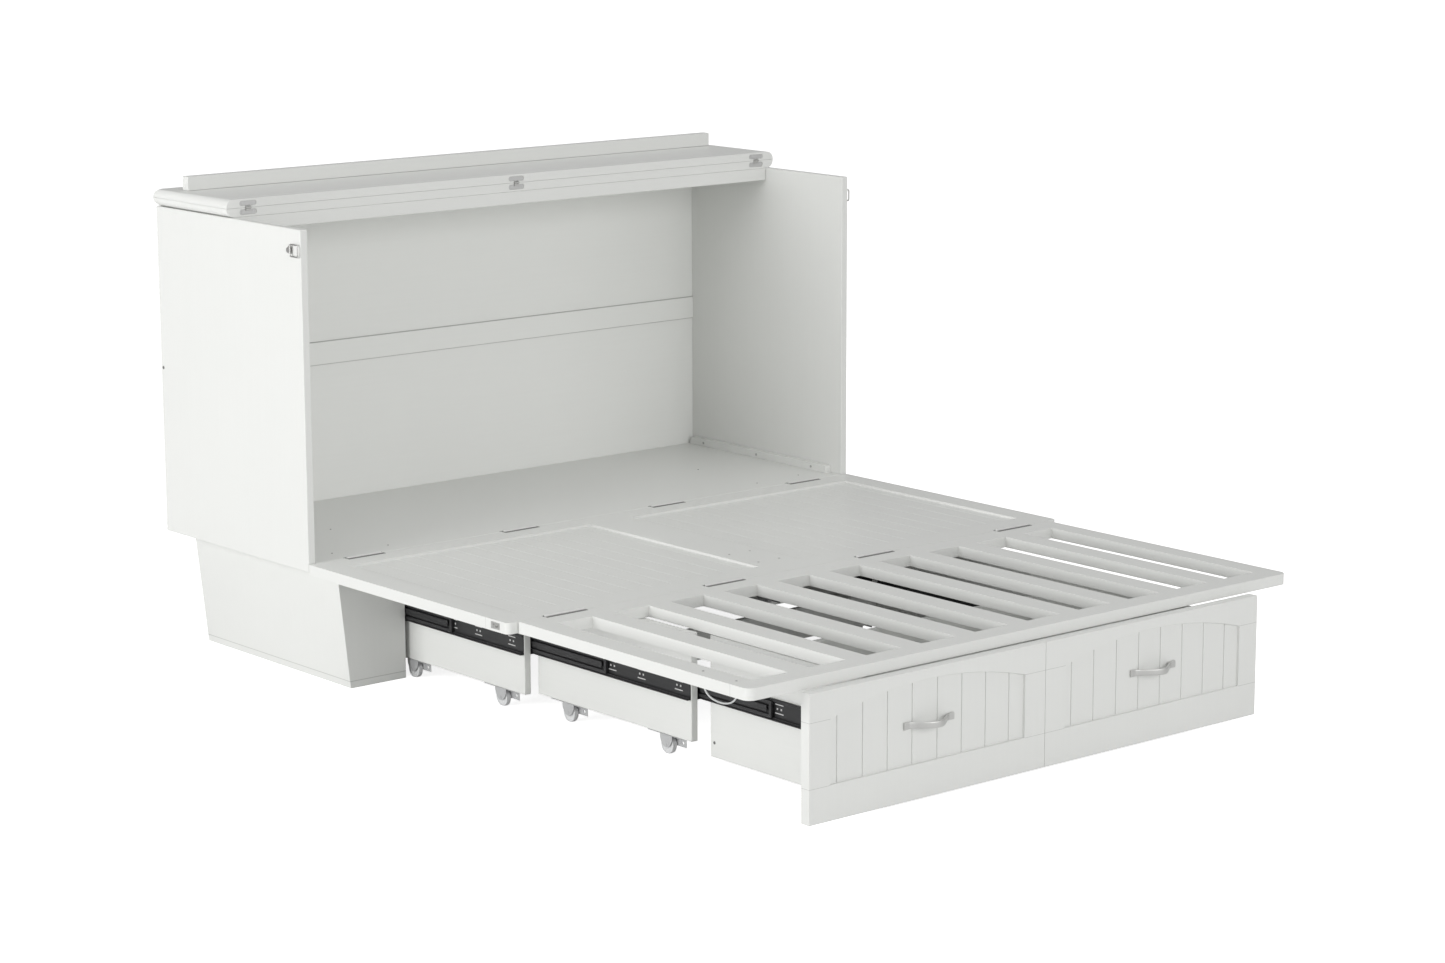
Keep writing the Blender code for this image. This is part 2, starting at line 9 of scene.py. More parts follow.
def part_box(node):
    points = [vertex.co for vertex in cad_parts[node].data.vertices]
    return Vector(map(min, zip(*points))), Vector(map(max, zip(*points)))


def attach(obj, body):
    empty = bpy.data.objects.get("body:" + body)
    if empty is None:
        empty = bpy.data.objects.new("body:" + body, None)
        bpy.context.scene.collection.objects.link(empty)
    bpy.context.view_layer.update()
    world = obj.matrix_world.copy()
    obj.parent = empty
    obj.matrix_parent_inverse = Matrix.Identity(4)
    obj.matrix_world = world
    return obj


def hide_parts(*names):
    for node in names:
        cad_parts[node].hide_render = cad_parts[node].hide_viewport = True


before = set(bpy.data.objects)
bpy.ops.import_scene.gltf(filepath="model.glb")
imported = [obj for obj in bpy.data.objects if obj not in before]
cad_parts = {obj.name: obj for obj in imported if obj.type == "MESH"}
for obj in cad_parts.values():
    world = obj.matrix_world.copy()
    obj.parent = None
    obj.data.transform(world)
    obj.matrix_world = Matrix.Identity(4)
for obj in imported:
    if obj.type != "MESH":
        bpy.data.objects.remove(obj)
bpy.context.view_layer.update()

# ---- Cabinet boards --------------------------------------
# Furniture board, primed and sprayed off-white, with the grain of the veneer just showing through.
# Sides, floor, back and apron are plain boards dowelled and screwed together.
BACK_FACE_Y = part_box("back_panel")[1].y   # the cabinet's back; measurements of the bed start here
WHITE = (0.735, 0.742, 0.722)
WHITE_LOW = (0.722, 0.729, 0.709)
JOINT_SHADE = (0.40, 0.405, 0.39)


def along(distance):
    """World Y of a place that far in front of the cabinet's back."""
    return BACK_FACE_Y - distance


def new_material(name):
    made = bpy.data.materials.new(name)
    made.use_nodes = True
    return made, made.node_tree.nodes, made.node_tree.links, made.node_tree.nodes["Principled BSDF"]


def arithmetic(nodes, links, operation, *values):
    node = nodes.new("ShaderNodeMath")
    node.operation = operation
    for place, value in zip(node.inputs, values):
        if isinstance(value, (int, float)):
            place.default_value = value
        else:
            links.new(value, place)
    return node.outputs[0]


def stretched(nodes, links, place, scale):
    mapping = nodes.new("ShaderNodeMapping")
    mapping.inputs["Scale"].default_value = scale
    links.new(place, mapping.inputs["Vector"])
    return mapping.outputs[0]


def noise_over(nodes, links, place, scale, detail, rough=0.5):
    noise = nodes.new("ShaderNodeTexNoise")
    noise.inputs["Scale"].default_value = scale
    noise.inputs["Detail"].default_value = detail
    noise.inputs["Roughness"].default_value = rough
    links.new(place, noise.inputs["Vector"])
    return noise.outputs[0]


def two_tone(nodes, links, value, dark, light, ends=(0.0, 1.0)):
    """A colour that goes from dark to light as the value goes from one end to the other."""
    ramp = nodes.new("ShaderNodeValToRGB")
    for stop, position, colour in zip(ramp.color_ramp.elements, ends, (dark, light)):
        stop.position = position
        stop.color = (*colour, 1.0)
    links.new(value, ramp.inputs[0])
    return ramp.outputs[0]


def rough_between(nodes, links, shader, value, low, high):
    """Roughness from low to high as the value goes from 0 to 1."""
    spread = nodes.new("ShaderNodeMapRange")
    spread.inputs["To Min"].default_value = low
    spread.inputs["To Max"].default_value = high
    links.new(value, spread.inputs["Value"])
    links.new(spread.outputs[0], shader.inputs["Roughness"])


def raised(nodes, links, shader, height, strength, distance):
    """Fine relief from a height."""
    bump = nodes.new("ShaderNodeBump")
    bump.inputs["Strength"].default_value = strength
    bump.inputs["Distance"].default_value = distance
    links.new(height, bump.inputs["Height"])
    links.new(bump.outputs[0], shader.inputs["Normal"])


def hairline(nodes, links, xyz, axis, at, half, within=()):
    """1 on a thin joint line where one coordinate is `at`, falling to 0 beside it."""
    off = arithmetic(nodes, links, "ABSOLUTE", arithmetic(nodes, links, "SUBTRACT", xyz[axis], at))
    fade = nodes.new("ShaderNodeMapRange")
    fade.interpolation_type = "SMOOTHSTEP"
    fade.inputs["From Min"].default_value = half * 0.4
    fade.inputs["From Max"].default_value = half
    fade.inputs["To Min"].default_value = 1.0
    fade.inputs["To Max"].default_value = 0.0
    links.new(off, fade.inputs["Value"])
    mask = fade.outputs[0]
    for other, low, high in within:
        near = arithmetic(nodes, links, "COMPARE", xyz[other], (low + high) / 2, (high - low) / 2)
        mask = arithmetic(nodes, links, "MULTIPLY", mask, near)
    return mask


def sprayed_paint(name, grain, lines=(), tone=1.0):
    """Satin paint on board. grain is the axis that the faint grain runs along; lines are joints; tone
    lightens or darkens the whole paint, as painted light or shade on the boards that use it.
    """
    made, nodes, links, shader = new_material(name)
    place = nodes.new("ShaderNodeTexCoord").outputs["Object"]
    scale = [4.0 if k == grain else 130.0 for k in range(3)]
    fibres = noise_over(nodes, links, stretched(nodes, links, place, scale), 1.0, 6.0, 0.6)
    peel = noise_over(nodes, links, place, 700.0, 2.0)
    cloud = noise_over(nodes, links, place, 2.4, 3.0)

    shade = arithmetic(nodes, links, "MULTIPLY", fibres, 0.55)
    shade = arithmetic(nodes, links, "MULTIPLY_ADD", cloud, 0.45, shade)
    # tone scales both paint colours: above 1 it is painted light, below 1 painted shade.
    low, high = [tone * c for c in WHITE_LOW], [tone * c for c in WHITE]
    base = two_tone(nodes, links, shade, low, high, (0.34, 0.66))
    height = arithmetic(nodes, links, "MULTIPLY", fibres, 0.045)
    height = arithmetic(nodes, links, "MULTIPLY_ADD", peel, 0.05, height)
    if lines:
        split = nodes.new("ShaderNodeSeparateXYZ")
        links.new(place, split.inputs[0])
        mask = None
        for line in lines:
            one = hairline(nodes, links, split.outputs, *line)
            mask = one if mask is None else arithmetic(nodes, links, "MAXIMUM", mask, one)
        darker = nodes.new("ShaderNodeMix")
        darker.data_type = "RGBA"
        links.new(arithmetic(nodes, links, "MULTIPLY", mask, 0.75), darker.inputs["Factor"])
        links.new(base, darker.inputs["A"])
        darker.inputs["B"].default_value = (*JOINT_SHADE, 1.0)
        base = darker.outputs["Result"]
        height = arithmetic(nodes, links, "SUBTRACT", height, mask)
    links.new(base, shader.inputs["Base Color"])
    rough_between(nodes, links, shader, fibres, 0.34, 0.50)
    raised(nodes, links, shader, height, 0.35, 0.0006)
    shader.inputs["Specular IOR Level"].default_value = 0.42
    return made


def paint_node(node, material):
    """Gives a board its finish."""
    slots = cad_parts[node].data.materials
    slots.clear()
    slots.append(material)


paint_along_x = sprayed_paint("paint_grain_across", 0)
paint_along_y = sprayed_paint("paint_grain_lengthways", 1)
paint_upright = sprayed_paint("paint_grain_upright", 2)

for board in ("left_side_panel", "right_side_panel"):
    paint_node(board, paint_upright)
for board in ("cabinet_floor", "top_apron"):
    paint_node(board, paint_along_x)
RAIL_EDGES = (0.7005, 0.6438)   # levels of the flat rail that crosses the back
rail_lines = [(2, edge, 0.0016) for edge in RAIL_EDGES]
# The back's paint is 15 % lighter than the other boards: painted light on the back wall deep inside the
# cabinet.
paint_back_painted_light = sprayed_paint("paint_back_painted_light", 0, rail_lines, 1.15)
paint_node("back_panel", paint_back_painted_light)

# ---- Plinths ---------------------------------------------
# Two tapered boxes that carry the cabinet; a low skirting strip runs round the foot of each.
SKIRT_TOP = 0.0165
paint_plinth = sprayed_paint("paint_plinth", 2, [(2, SKIRT_TOP, 0.0012)])
for board in ("left_pedestal", "right_pedestal"):
    paint_node(board, paint_plinth)

# ---- Top and flap ----------------------------------------
# Two boards lie on each other with their outer edges rounded to one half-round nosing. The lower is
# fixed; the upper turns over its front edge. Each front edge has three pockets for the hinges.
NOSE = 0.0190
TOP_POCKET_X = (-0.765, 0.0, 0.765)
TOP_POCKET = (0.0232, 0.0026, 0.0122)   # half width, depth and height of a hinge pocket
TOP_POCKET_CORNER = 0.0055
POCKET_LIP = 0.0037    # wood left between a pocket and the face where the boards meet
LINK_NOTCH = (0.0075, 0.0042, 0.0060)   # half width, depth and height of the cut for a link
PAST = 0.01            # how far a cutter stands out of the piece that it cuts


def add_box(bm, x, y, z):
    made = bmesh.ops.create_cube(bm, size=1.0)["verts"]
    low = Vector((min(x), min(y), min(z)))
    high = Vector((max(x), max(y), max(z)))
    for vert in made:
        vert.co = (low + high) / 2 + Vector(c * s for c, s in zip(vert.co, high - low))
    return made


def soft_box(bm, x, y, z, radius, segments=2):
    """A box with all its edges rounded."""
    verts = add_box(bm, x, y, z)
    edges = {edge for vert in verts for edge in vert.link_edges}
    bmesh.ops.bevel(
        bm, geom=list(edges), offset=radius, segments=segments, profile=0.5, affect="EDGES"
    )


def to_mesh(name, bm):
    bmesh.ops.recalc_face_normals(bm, faces=bm.faces)
    mesh = bpy.data.meshes.new(name)
    bm.to_mesh(mesh)
    bm.free()
    return mesh


def carved(mesh, cut):
    """The mesh with another one cut out of it."""
    solid = bpy.data.objects.new("uncut", mesh)
    tool = bpy.data.objects.new("cut", to_mesh("cut", cut))
    for obj in (solid, tool):
        bpy.context.scene.collection.objects.link(obj)
    mod = solid.modifiers.new("cut", "BOOLEAN")
    mod.operation = "DIFFERENCE"
    mod.solver = "EXACT"
    mod.object = tool
    result = plain(solid)
    bpy.data.objects.remove(tool)
    return result


def plain(obj):
    """Applies an object's modifiers to a plain mesh and removes the object."""
    bpy.context.view_layer.update()
    seen = obj.evaluated_get(bpy.context.evaluated_depsgraph_get())
    mesh = bpy.data.meshes.new_from_object(seen)
    bpy.data.objects.remove(obj)
    return mesh


def eased(mesh, width, segments=2, angle=35.0):
    """Breaks a board's sharp edges."""
    obj = bpy.data.objects.new("eased", mesh)
    bpy.context.scene.collection.objects.link(obj)
    mod = obj.modifiers.new("ease", "BEVEL")
    mod.width = width
    mod.segments = segments
    mod.limit_method = "ANGLE"
    mod.angle_limit = math.radians(angle)
    return plain(obj)


def fit(name, mesh, material, body, stands_for=(), smooth=32.0):
    """Puts a finished piece on its body."""
    mesh.materials.clear()
    mesh.materials.append(material)
    mesh.shade_smooth()
    mesh.set_sharp_from_angle(angle=math.radians(smooth))
    flat = bpy.data.objects.new("flat", mesh)
    bpy.context.scene.collection.objects.link(flat)
    even = flat.modifiers.new("even", "WEIGHTED_NORMAL")
    even.keep_sharp = True
    mesh = plain(flat)
    mesh.name = name
    obj = bpy.data.objects.new(name, mesh)
    bpy.context.scene.collection.objects.link(obj)
    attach(obj, body)
    if stands_for:
        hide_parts(*stands_for)
    return obj


def add_prism(bm, outline, lift, place):
    """A closed prism over an outline; place maps its two coordinates and the level to a point."""
    low = [bm.verts.new(place(a, b, lift[0])) for a, b in outline]
    high = [bm.verts.new(place(a, b, lift[1])) for a, b in outline]
    bm.faces.new(low)
    bm.faces.new(high)
    for i in range(len(outline)):
        j = (i + 1) % len(outline)
        bm.faces.new((low[i], low[j], high[j], high[i]))


def rounded_rectangle(a, b, radius, steps=6):
    """Outline of a rectangle with rounded corners."""
    outline = []
    for ca, cb, start in ((a[1], b[1], 0), (a[0], b[1], 90), (a[0], b[0], 180), (a[1], b[0], 270)):
        ma = ca - math.copysign(radius, ca - sum(a) / 2)
        mb = cb - math.copysign(radius, cb - sum(b) / 2)
        for step in range(steps + 1):
            angle = math.radians(start + 90 * step / steps)
            outline.append((ma + radius * math.cos(angle), mb + radius * math.sin(angle)))
    return outline


def nosed_board(node, rounded_above):
    low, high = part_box(node)
    bm = bmesh.new()
    add_box(bm, (low.x, high.x), (low.y, high.y), (low.z, high.z))
    level = high.z if rounded_above else low.z
    chosen = []
    for edge in bm.edges:
        ends = [vert.co for vert in edge.verts]
        at_front = all(abs(end.y - low.y) < 1e-6 for end in ends)
        if all(abs(end.z - level) < 1e-6 for end in ends) and not at_front:
            chosen.append(edge)
    bmesh.ops.bevel(bm, geom=chosen, offset=NOSE, segments=12, profile=0.5, affect="EDGES")
    mesh = to_mesh(node, bm)
    half, deep, tall = TOP_POCKET
    if rounded_above:
        z = low.z + POCKET_LIP + tall / 2
    else:
        z = high.z - POCKET_LIP - tall / 2
    pockets = bmesh.new()
    for x in TOP_POCKET_X:
        width = (x - half, x + half)
        outline = rounded_rectangle(width, (z - tall / 2, z + tall / 2), TOP_POCKET_CORNER)
        add_prism(pockets, outline, (low.y - PAST, low.y + deep), lambda a, b, c: (a, c, b))
    mesh = carved(mesh, pockets)
    half, deep, tall = LINK_NOTCH
    if rounded_above:
        notch = (low.z - PAST, low.z + tall)
    else:
        notch = (high.z - tall, high.z + PAST)
    notches = bmesh.new()
    for x in TOP_POCKET_X:
        add_box(notches, (x - half, x + half), (low.y - PAST, low.y + deep), notch)
    return carved(mesh, notches)


paint_top = sprayed_paint("paint_top", 0)
fit("top_board_nosed", nosed_board("top_board", False), paint_top, "cabinet", ["top_board"])
fit("top_flap_nosed", nosed_board("top_flap", True), paint_top, "flap", ["top_flap"])

# A straight rail stands on the flap; it becomes a stiffener when the bed is closed.
rail_low, rail_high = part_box("flap_rail")
rail = bmesh.new()
soft_box(
    rail, (rail_low.x, rail_high.x), (rail_low.y, rail_high.y), (rail_low.z, rail_high.z), 0.0015, 2
)
fit("flap_rail_eased", to_mesh("flap_rail_eased", rail), paint_along_x, "flap", ["flap_rail"])

# ---- Flap hinges -----------------------------------------
# Small cast hinges let into the front edges of the two top boards: a rounded plate in each board,
# each held by two countersunk screws, and a bright link between them on the axis.
HINGE_Y = along(0.3175)
HINGE_Z = 1.0866
PLATE = (0.0222, 0.0012, 0.0055)   # half width, thickness and half height of a plate
PLATE_SCREW_X = 0.0145             # from the middle of a plate to each screw
LOWER_PLATE_DROP = 0.0101
UPPER_PLATE_RISE = 0.0105


def brushed_metal(name, colour, low, high, grain=0, metallic=1.0):
    made, nodes, links, shader = new_material(name)
    place = nodes.new("ShaderNodeTexCoord").outputs["Object"]
    scale = [60.0 if k == grain else 1600.0 for k in range(3)]
    streak = noise_over(nodes, links, stretched(nodes, links, place, scale), 1.0, 4.0)
    rough_between(nodes, links, shader, streak, low, high)
    tone = two_tone(nodes, links, streak, [c * 0.86 for c in colour], colour)
    links.new(tone, shader.inputs["Base Color"])
    raised(nodes, links, shader, streak, 0.12, 0.0002)
    shader.inputs["Metallic"].default_value = metallic
    return made


def add_rod(bm, centre, radius, length, axis="X", sides=24, tip=None):
    """A round bar or cone along an axis, centred on a point."""
    turn = {"X": Matrix.Rotation(math.pi / 2, 4, "Y"), "Y": Matrix.Rotation(math.pi / 2, 4, "X")}
    bmesh.ops.create_cone(
        bm,
        cap_ends=True,
        segments=sides,
        radius1=radius,
        radius2=radius if tip is None else tip,
        depth=length,
        matrix=Matrix.Translation(centre) @ turn.get(axis, Matrix.Identity(4)),
    )


nickel = brushed_metal("satin_nickel", (0.56, 0.56, 0.545), 0.28, 0.42)
pale_nickel = brushed_metal("pale_nickel", (0.84, 0.84, 0.83), 0.42, 0.56, metallic=0.45)
dull_nickel = brushed_metal("hinge_plate", (0.60, 0.60, 0.595), 0.42, 0.56, metallic=0.7)


def hinge_plate(z):
    """Rounded plates with a screw in each end, for all three hinges of one board."""
    bm = bmesh.new()
    half, thick, half_tall = PLATE
    y = HINGE_Y + 0.0021
    for x in TOP_POCKET_X:
        height = (z - half_tall, z + half_tall)
        soft_box(bm, (x - half, x + half), (y, y + thick), height, 0.0005)
        for side in (-PLATE_SCREW_X, PLATE_SCREW_X):
            add_rod(bm, (x + side, y, z), 0.0036, 0.0008, "Y", 16)
    return to_mesh("hinge_plates", bm)


fit("flap_hinge_lower_plates", hinge_plate(HINGE_Z - LOWER_PLATE_DROP), dull_nickel, "cabinet")
fit("flap_hinge_upper_plates", hinge_plate(HINGE_Z + UPPER_PLATE_RISE), dull_nickel, "flap")
links_bm = bmesh.new()
for hinge_x in TOP_POCKET_X:
    soft_box(
        links_bm,
        (hinge_x - 0.0062, hinge_x + 0.0062),
        (HINGE_Y - 0.0012, HINGE_Y + 0.0026),
        (HINGE_Z - 0.0072, HINGE_Z + 0.0030),
        0.0009,
    )
    add_rod(links_bm, (hinge_x, HINGE_Y, HINGE_Z), 0.0030, 0.0140)
fit(
    "flap_hinge_links",
    to_mesh("flap_hinge_links", links_bm),
    nickel,
    "cabinet",
    ["flap_hinge_1", "flap_hinge_2", "flap_hinge_3"],
)

# ---- Side latches and keepers ----------------------------
# A bent wire loop turns on a round boss screwed to the side panel; when the bed is closed it drops
# over a keeper on the edge of the folded middle panel.
LOOP_WIRE = 0.0017
LOOP_LENGTH = (along(0.607), along(0.577))
LOOP_HEIGHT = (1.0050, 1.0320)
BOSS_Y = along(0.570)
BOSS_Z = 1.0185
KEEPER_LENGTH = (along(1.332), along(1.303))
KEEPER_HEIGHT = (0.2875, 0.3020)
KEEPER_SCREW = (along(1.3105), 0.2948)
HOOK_Y = along(1.3245)
HOOK_BEND = ((0.0012, 0.2930), (0.0060, 0.2935), (0.0076, 0.2955), (0.0076, 0.2985))


def bent_wire(name, points, radius, closed=False, sides=3):
    curve = bpy.data.curves.new(name, "CURVE")
    curve.dimensions = "3D"
    curve.bevel_depth = radius
    curve.bevel_resolution = sides
    curve.use_fill_caps = True
    spline = curve.splines.new("POLY")
    spline.points.add(len(points) - 1)
    for point, place in zip(spline.points, points):
        point.co = (*place, 1.0)
    spline.use_cyclic_u = closed
    obj = bpy.data.objects.new(name, curve)
    bpy.context.scene.collection.objects.link(obj)
    return plain(obj)


for side, sign in (("left", -1), ("right", 1)):
    face = sign * (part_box("right_side_panel")[1].x + 0.0003)
    loop_x = face + sign * 0.0062
    loop_line = rounded_rectangle(LOOP_LENGTH, LOOP_HEIGHT, 0.004)
    loop_points = [(loop_x, a, b) for a, b in loop_line]
    loop = bmesh.new()
    loop.from_mesh(bent_wire(side + "_loop", loop_points, LOOP_WIRE, closed=True))
    add_rod(loop, (face + sign * 0.0011, BOSS_Y, BOSS_Z), 0.0100, 0.0022, "X", 40)
    add_rod(loop, (face + sign * 0.0048, BOSS_Y, BOSS_Z), 0.0066, 0.0060, "X", 32)
    mesh = eased(to_mesh(side + "_latch", loop), 0.0004)
    node = side + "_latch_loop"
    fit(side + "_latch_wire_loop", mesh, nickel, node, [node])

    keeper = bmesh.new()
    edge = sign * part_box("mid_panel")[1].x
    soft_box(keeper, (edge, edge + sign * 0.0016), KEEPER_LENGTH, KEEPER_HEIGHT, 0.0005)
    hook = [(edge + sign * out, HOOK_Y, z) for out, z in HOOK_BEND]
    hook_bm = bmesh.new()
    hook_bm.from_mesh(bent_wire("hook", hook, 0.0020))
    add_rod(hook_bm, (edge + sign * 0.0020, *KEEPER_SCREW), 0.0036, 0.0020, "X", 20)
    hook_mesh = to_mesh("hook", hook_bm)
    keeper.from_mesh(hook_mesh)
    fit(side + "_keeper", to_mesh(side + "_keeper", keeper), nickel, "middle_panel")

# ---- Middle panel ----------------------------------------
# A framed panel that is the cabinet's front when closed: two sunk fields of beaded board on each face,
# stiles and rails round them, and pockets for the hinges in both long edges.
PANEL_EASE = 0.0008
FIELD_X = (0.061, 0.754)
FIELD_Y = (along(1.2875), along(0.677))
FIELD_DEPTH = 0.0055
BEAD_PITCH = 0.0533
BEAD_HALF = 0.0016
FACE_FIELD = (along(0.700), along(1.215), along(1.290))   # low end, spring and crown of the arch
PANEL_CORNER = 0.012
DECK_HINGE_X = (-0.667, -0.224, 0.224, 0.667)
DECK_POCKET_HALF = 0.0495
FOLD_POCKET_HALF = 0.0545
POCKET_REACH = 0.0065   # from a panel's edge to the inner end of a hinge pocket
POCKET_DROP = 0.0095


def arch(x, low, spring, crown, steps=24):
    """Outline, across X and a second axis, of a field with a shallow arch at its far end."""
    half = (x[1] - x[0]) / 2
    rise = crown - spring
    radius = (half * half + rise * rise) / (2 * rise)
    swing = math.asin(half / radius)
    outline = [(x[0], low), (x[1], low)]
    for i in range(steps + 1):
        angle = swing - 2 * swing * i / steps
        across = sum(x) / 2 + radius * math.sin(angle)
        outline.append((across, crown - radius * (1 - math.cos(angle))))
    return outline


def v_groove(bm, at, along_range, level, depth, half, place):
    """A V-shaped groove's cutter, running along the second axis."""
    section = ((at - half, level + depth), (at + half, level + depth), (at, level - depth))
    ends = []
    for b in along_range:
        ends.append([bm.verts.new(place(a, b, c)) for a, c in section])
    bm.faces.new(ends[0])
    bm.faces.new(ends[1])
    for i in range(3):
        j = (i + 1) % 3
        bm.faces.new((ends[0][i], ends[0][j], ends[1][j], ends[1][i]))


def sides_of(x):
    return ((-x[1], -x[0]), (x[0], x[1]))


def rounded_board(node, corner):
    """A board with its two front corners rounded in plan."""
    low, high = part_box(node)
    bm = bmesh.new()
    add_box(bm, (low.x, high.x), (low.y, high.y), (low.z, high.z))
    upright = [e for e in bm.edges if abs(e.verts[0].co.z - e.verts[1].co.z) > 0.001]
    chosen = [e for e in upright if e.verts[0].co.y < (low.y + high.y) / 2]
    bmesh.ops.bevel(bm, geom=chosen, offset=corner, segments=8, profile=0.5, affect="EDGES")
    return to_mesh(node, bm)


def in_plan(a, b, c):
    return (a, b, c)


panel_low, panel_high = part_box("mid_panel")
cut = bmesh.new()
for x in sides_of(FIELD_X):
    add_box(cut, x, FIELD_Y, (panel_high.z - FIELD_DEPTH, panel_high.z + PAST))
    depth = (panel_low.z - PAST, panel_low.z + FIELD_DEPTH)
    add_prism(cut, arch(x, *FACE_FIELD), depth, in_plan)
top = (panel_high.z - POCKET_DROP, panel_high.z + PAST)
rear_edge = (panel_high.y - POCKET_REACH, panel_high.y + PAST)
front_edge = (panel_low.y - PAST, panel_low.y + POCKET_REACH)
for x in DECK_HINGE_X:
    add_box(cut, (x - DECK_POCKET_HALF, x + DECK_POCKET_HALF), rear_edge, top)
    add_box(cut, (x - FOLD_POCKET_HALF, x + FOLD_POCKET_HALF), front_edge, top)
mid_mesh = eased(carved(rounded_board("mid_panel", PANEL_CORNER), cut), PANEL_EASE)
beads = bmesh.new()
for x in sides_of(FIELD_X):
    count = int((x[1] - x[0]) / BEAD_PITCH)
    first = (x[0] + x[1]) / 2 - (count - 1) / 2 * BEAD_PITCH
    for i in range(count):
        at = first + i * BEAD_PITCH
        reach = (FIELD_Y[0] + 0.001, FIELD_Y[1] - 0.001)
        v_groove(beads, at, reach, panel_high.z - FIELD_DEPTH, 0.0009, BEAD_HALF, in_plan)
        reach = (along(1.205), along(0.702))
        v_groove(beads, at, reach, panel_low.z + FIELD_DEPTH, -0.0012, BEAD_HALF, in_plan)
bmesh.ops.recalc_face_normals(beads, faces=beads.faces)
mid_mesh = carved(mid_mesh, beads)
EDGE_SEAM = (1, along(1.2826), 0.0006, [(0, -0.83, -0.8160)])
paint_middle = sprayed_paint("paint_middle_panel", 1, [EDGE_SEAM])
fit("mid_panel_framed", mid_mesh, paint_middle, "middle_panel", ["mid_panel"])

# ---- Platform hinges -------------------------------------
# Long leaf hinges let into the meeting edges flush with the sleeping surface: a five-knuckle barrel,
# with a folded leaf going down on each side of it.
BARREL_RADIUS = 0.0031
KNUCKLE_GAP = 0.0006
DECK_SEAM = along(0.6104)
FOLD_SEAM = along(1.3602)
LEAF_TOP = panel_high.z + 0.0002


def seam_hinge(half, y, z, leaf_y, leaf_z):
    """Barrels of a row of hinges, with one folded leaf under each."""
    bm = bmesh.new()
    for centre_x in DECK_HINGE_X:
        length = 2 * half / 5
        for k in range(5):
            x = centre_x - half + length * (k + 0.5)
            add_rod(bm, (x, y, z), BARREL_RADIUS, length - KNUCKLE_GAP, "X", 20)
        add_box(bm, (centre_x - half, centre_x + half), leaf_y, leaf_z)
    return to_mesh("seam_hinge", bm)


def seam_leaf(half, y, near, far):
    """Top of one leaf, let into the board beside the barrel, between two distances from the seam."""
    bm = bmesh.new()
    for x in DECK_HINGE_X:
        soft_box(bm, (x - half, x + half), (y + near, y + far), (0.3050, LEAF_TOP), 0.0001, 1)
    return to_mesh("seam_leaf", bm)


deck_leaf_y = (DECK_SEAM - 0.0004, DECK_SEAM + 0.0012)
fit(
    "deck_hinge_barrels",
    seam_hinge(0.047, DECK_SEAM, 0.3068, deck_leaf_y, (0.2975, 0.3050)),
    pale_nickel,
    "cabinet",
    [f"deck_hinge_{i}" for i in (1, 2, 3, 4)],
)
fold_leaf_y = (FOLD_SEAM + 0.0004, FOLD_SEAM + 0.0018)
fit(
    "fold_hinge_barrels",
    seam_hinge(0.052, FOLD_SEAM, 0.3078, fold_leaf_y, (0.2975, 0.3055)),
    pale_nickel,
    "middle_panel",
    [f"fold_hinge_{i}" for i in (1, 2, 3, 4)],
)
# The leaf tops beside the barrels are nearly black: painted shade, for the shadow down in the hinge
# pockets.
painted_shade_steel = brushed_metal("leaf_painted_shade", (0.24, 0.24, 0.235), 0.5, 0.65, metallic=0.5)
fit("deck_hinge_rear_leaves", seam_leaf(0.053, DECK_SEAM, 0.0038, 0.0085), painted_shade_steel, "cabinet")
fit("deck_hinge_leaves", seam_leaf(0.051, DECK_SEAM, -0.0150, -0.0038), painted_shade_steel, "middle_panel")
fit("fold_hinge_leaves", seam_leaf(0.055, FOLD_SEAM, 0.0038, 0.0085), painted_shade_steel, "middle_panel")
fit("foot_hinge_leaves", seam_leaf(0.055, FOLD_SEAM, -0.0130, -0.0038), painted_shade_steel, "foot_panel")

# ---- Slatted foot panel ----------------------------------
# One board with nine slats between ten long slots and a square frame round them. Its outer corners
# are rounded in plan, and it hangs on the middle panel by the hinges on their seam.
SLOT = 0.095
SLOT_STEP = 0.153
SLOT_Y = (along(2.051), along(1.424))
SLOTS = 10
FOOT_CORNER = 0.020
foot_low, foot_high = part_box("foot_deck")
cut = bmesh.new()
for i in range(SLOTS):
    x = (i - (SLOTS - 1) / 2) * SLOT_STEP
    add_box(cut, (x - SLOT / 2, x + SLOT / 2), SLOT_Y, (foot_low.z - PAST, foot_high.z + PAST))
top = (foot_high.z - POCKET_DROP, foot_high.z + PAST)
rear_edge = (foot_high.y - POCKET_REACH, foot_high.y + PAST)
for x in DECK_HINGE_X:
    add_box(cut, (x - FOLD_POCKET_HALF, x + FOLD_POCKET_HALF), rear_edge, top)
foot_mesh = eased(carved(rounded_board("foot_deck", FOOT_CORNER), cut), PANEL_EASE)
FOOT_SEAM = (1, along(2.050), 0.0006, [(0, -0.80, -0.7885)])
paint_foot = sprayed_paint("paint_foot_panel", 1, [FOOT_SEAM])
fit("foot_deck_slatted", foot_mesh, paint_foot, "foot_panel", ["foot_deck"])

# ---- Nested stages ---------------------------------------
# Each stage is a pair of plain painted boards on edge, joined by a low cross rail at the back.
# They carry the platform, and the narrower stage slides in between the boards of the wider one.
for stage in (1, 2):
    for side in ("left", "right"):
        paint_node(f"stage{stage}_{side}_board", paint_along_y)
    paint_node(f"stage{stage}_cross_rail", paint_along_x)

# ---- Ball-bearing slides ---------------------------------
# Heavy black full-extension slides: an outer channel with rolled edges screwed to the board, and the
# intermediate member telescoping out of its rear half, with a plastic stop on its end.
# Stage, face of the board, body, two ends, and where the intermediate member starts.
SLIDES = (
    (1, 0.5434, "stage1", (1.0500, 0.5600), 0.784),
    (2, 0.5124, "stage2", (1.5940, 1.0300), 1.312),
    (3, 0.4814, "drawer", (2.1085, 1.5800), 1.824),
)
SLIDE_LOW, SLIDE_HIGH = 0.1357, 0.1810

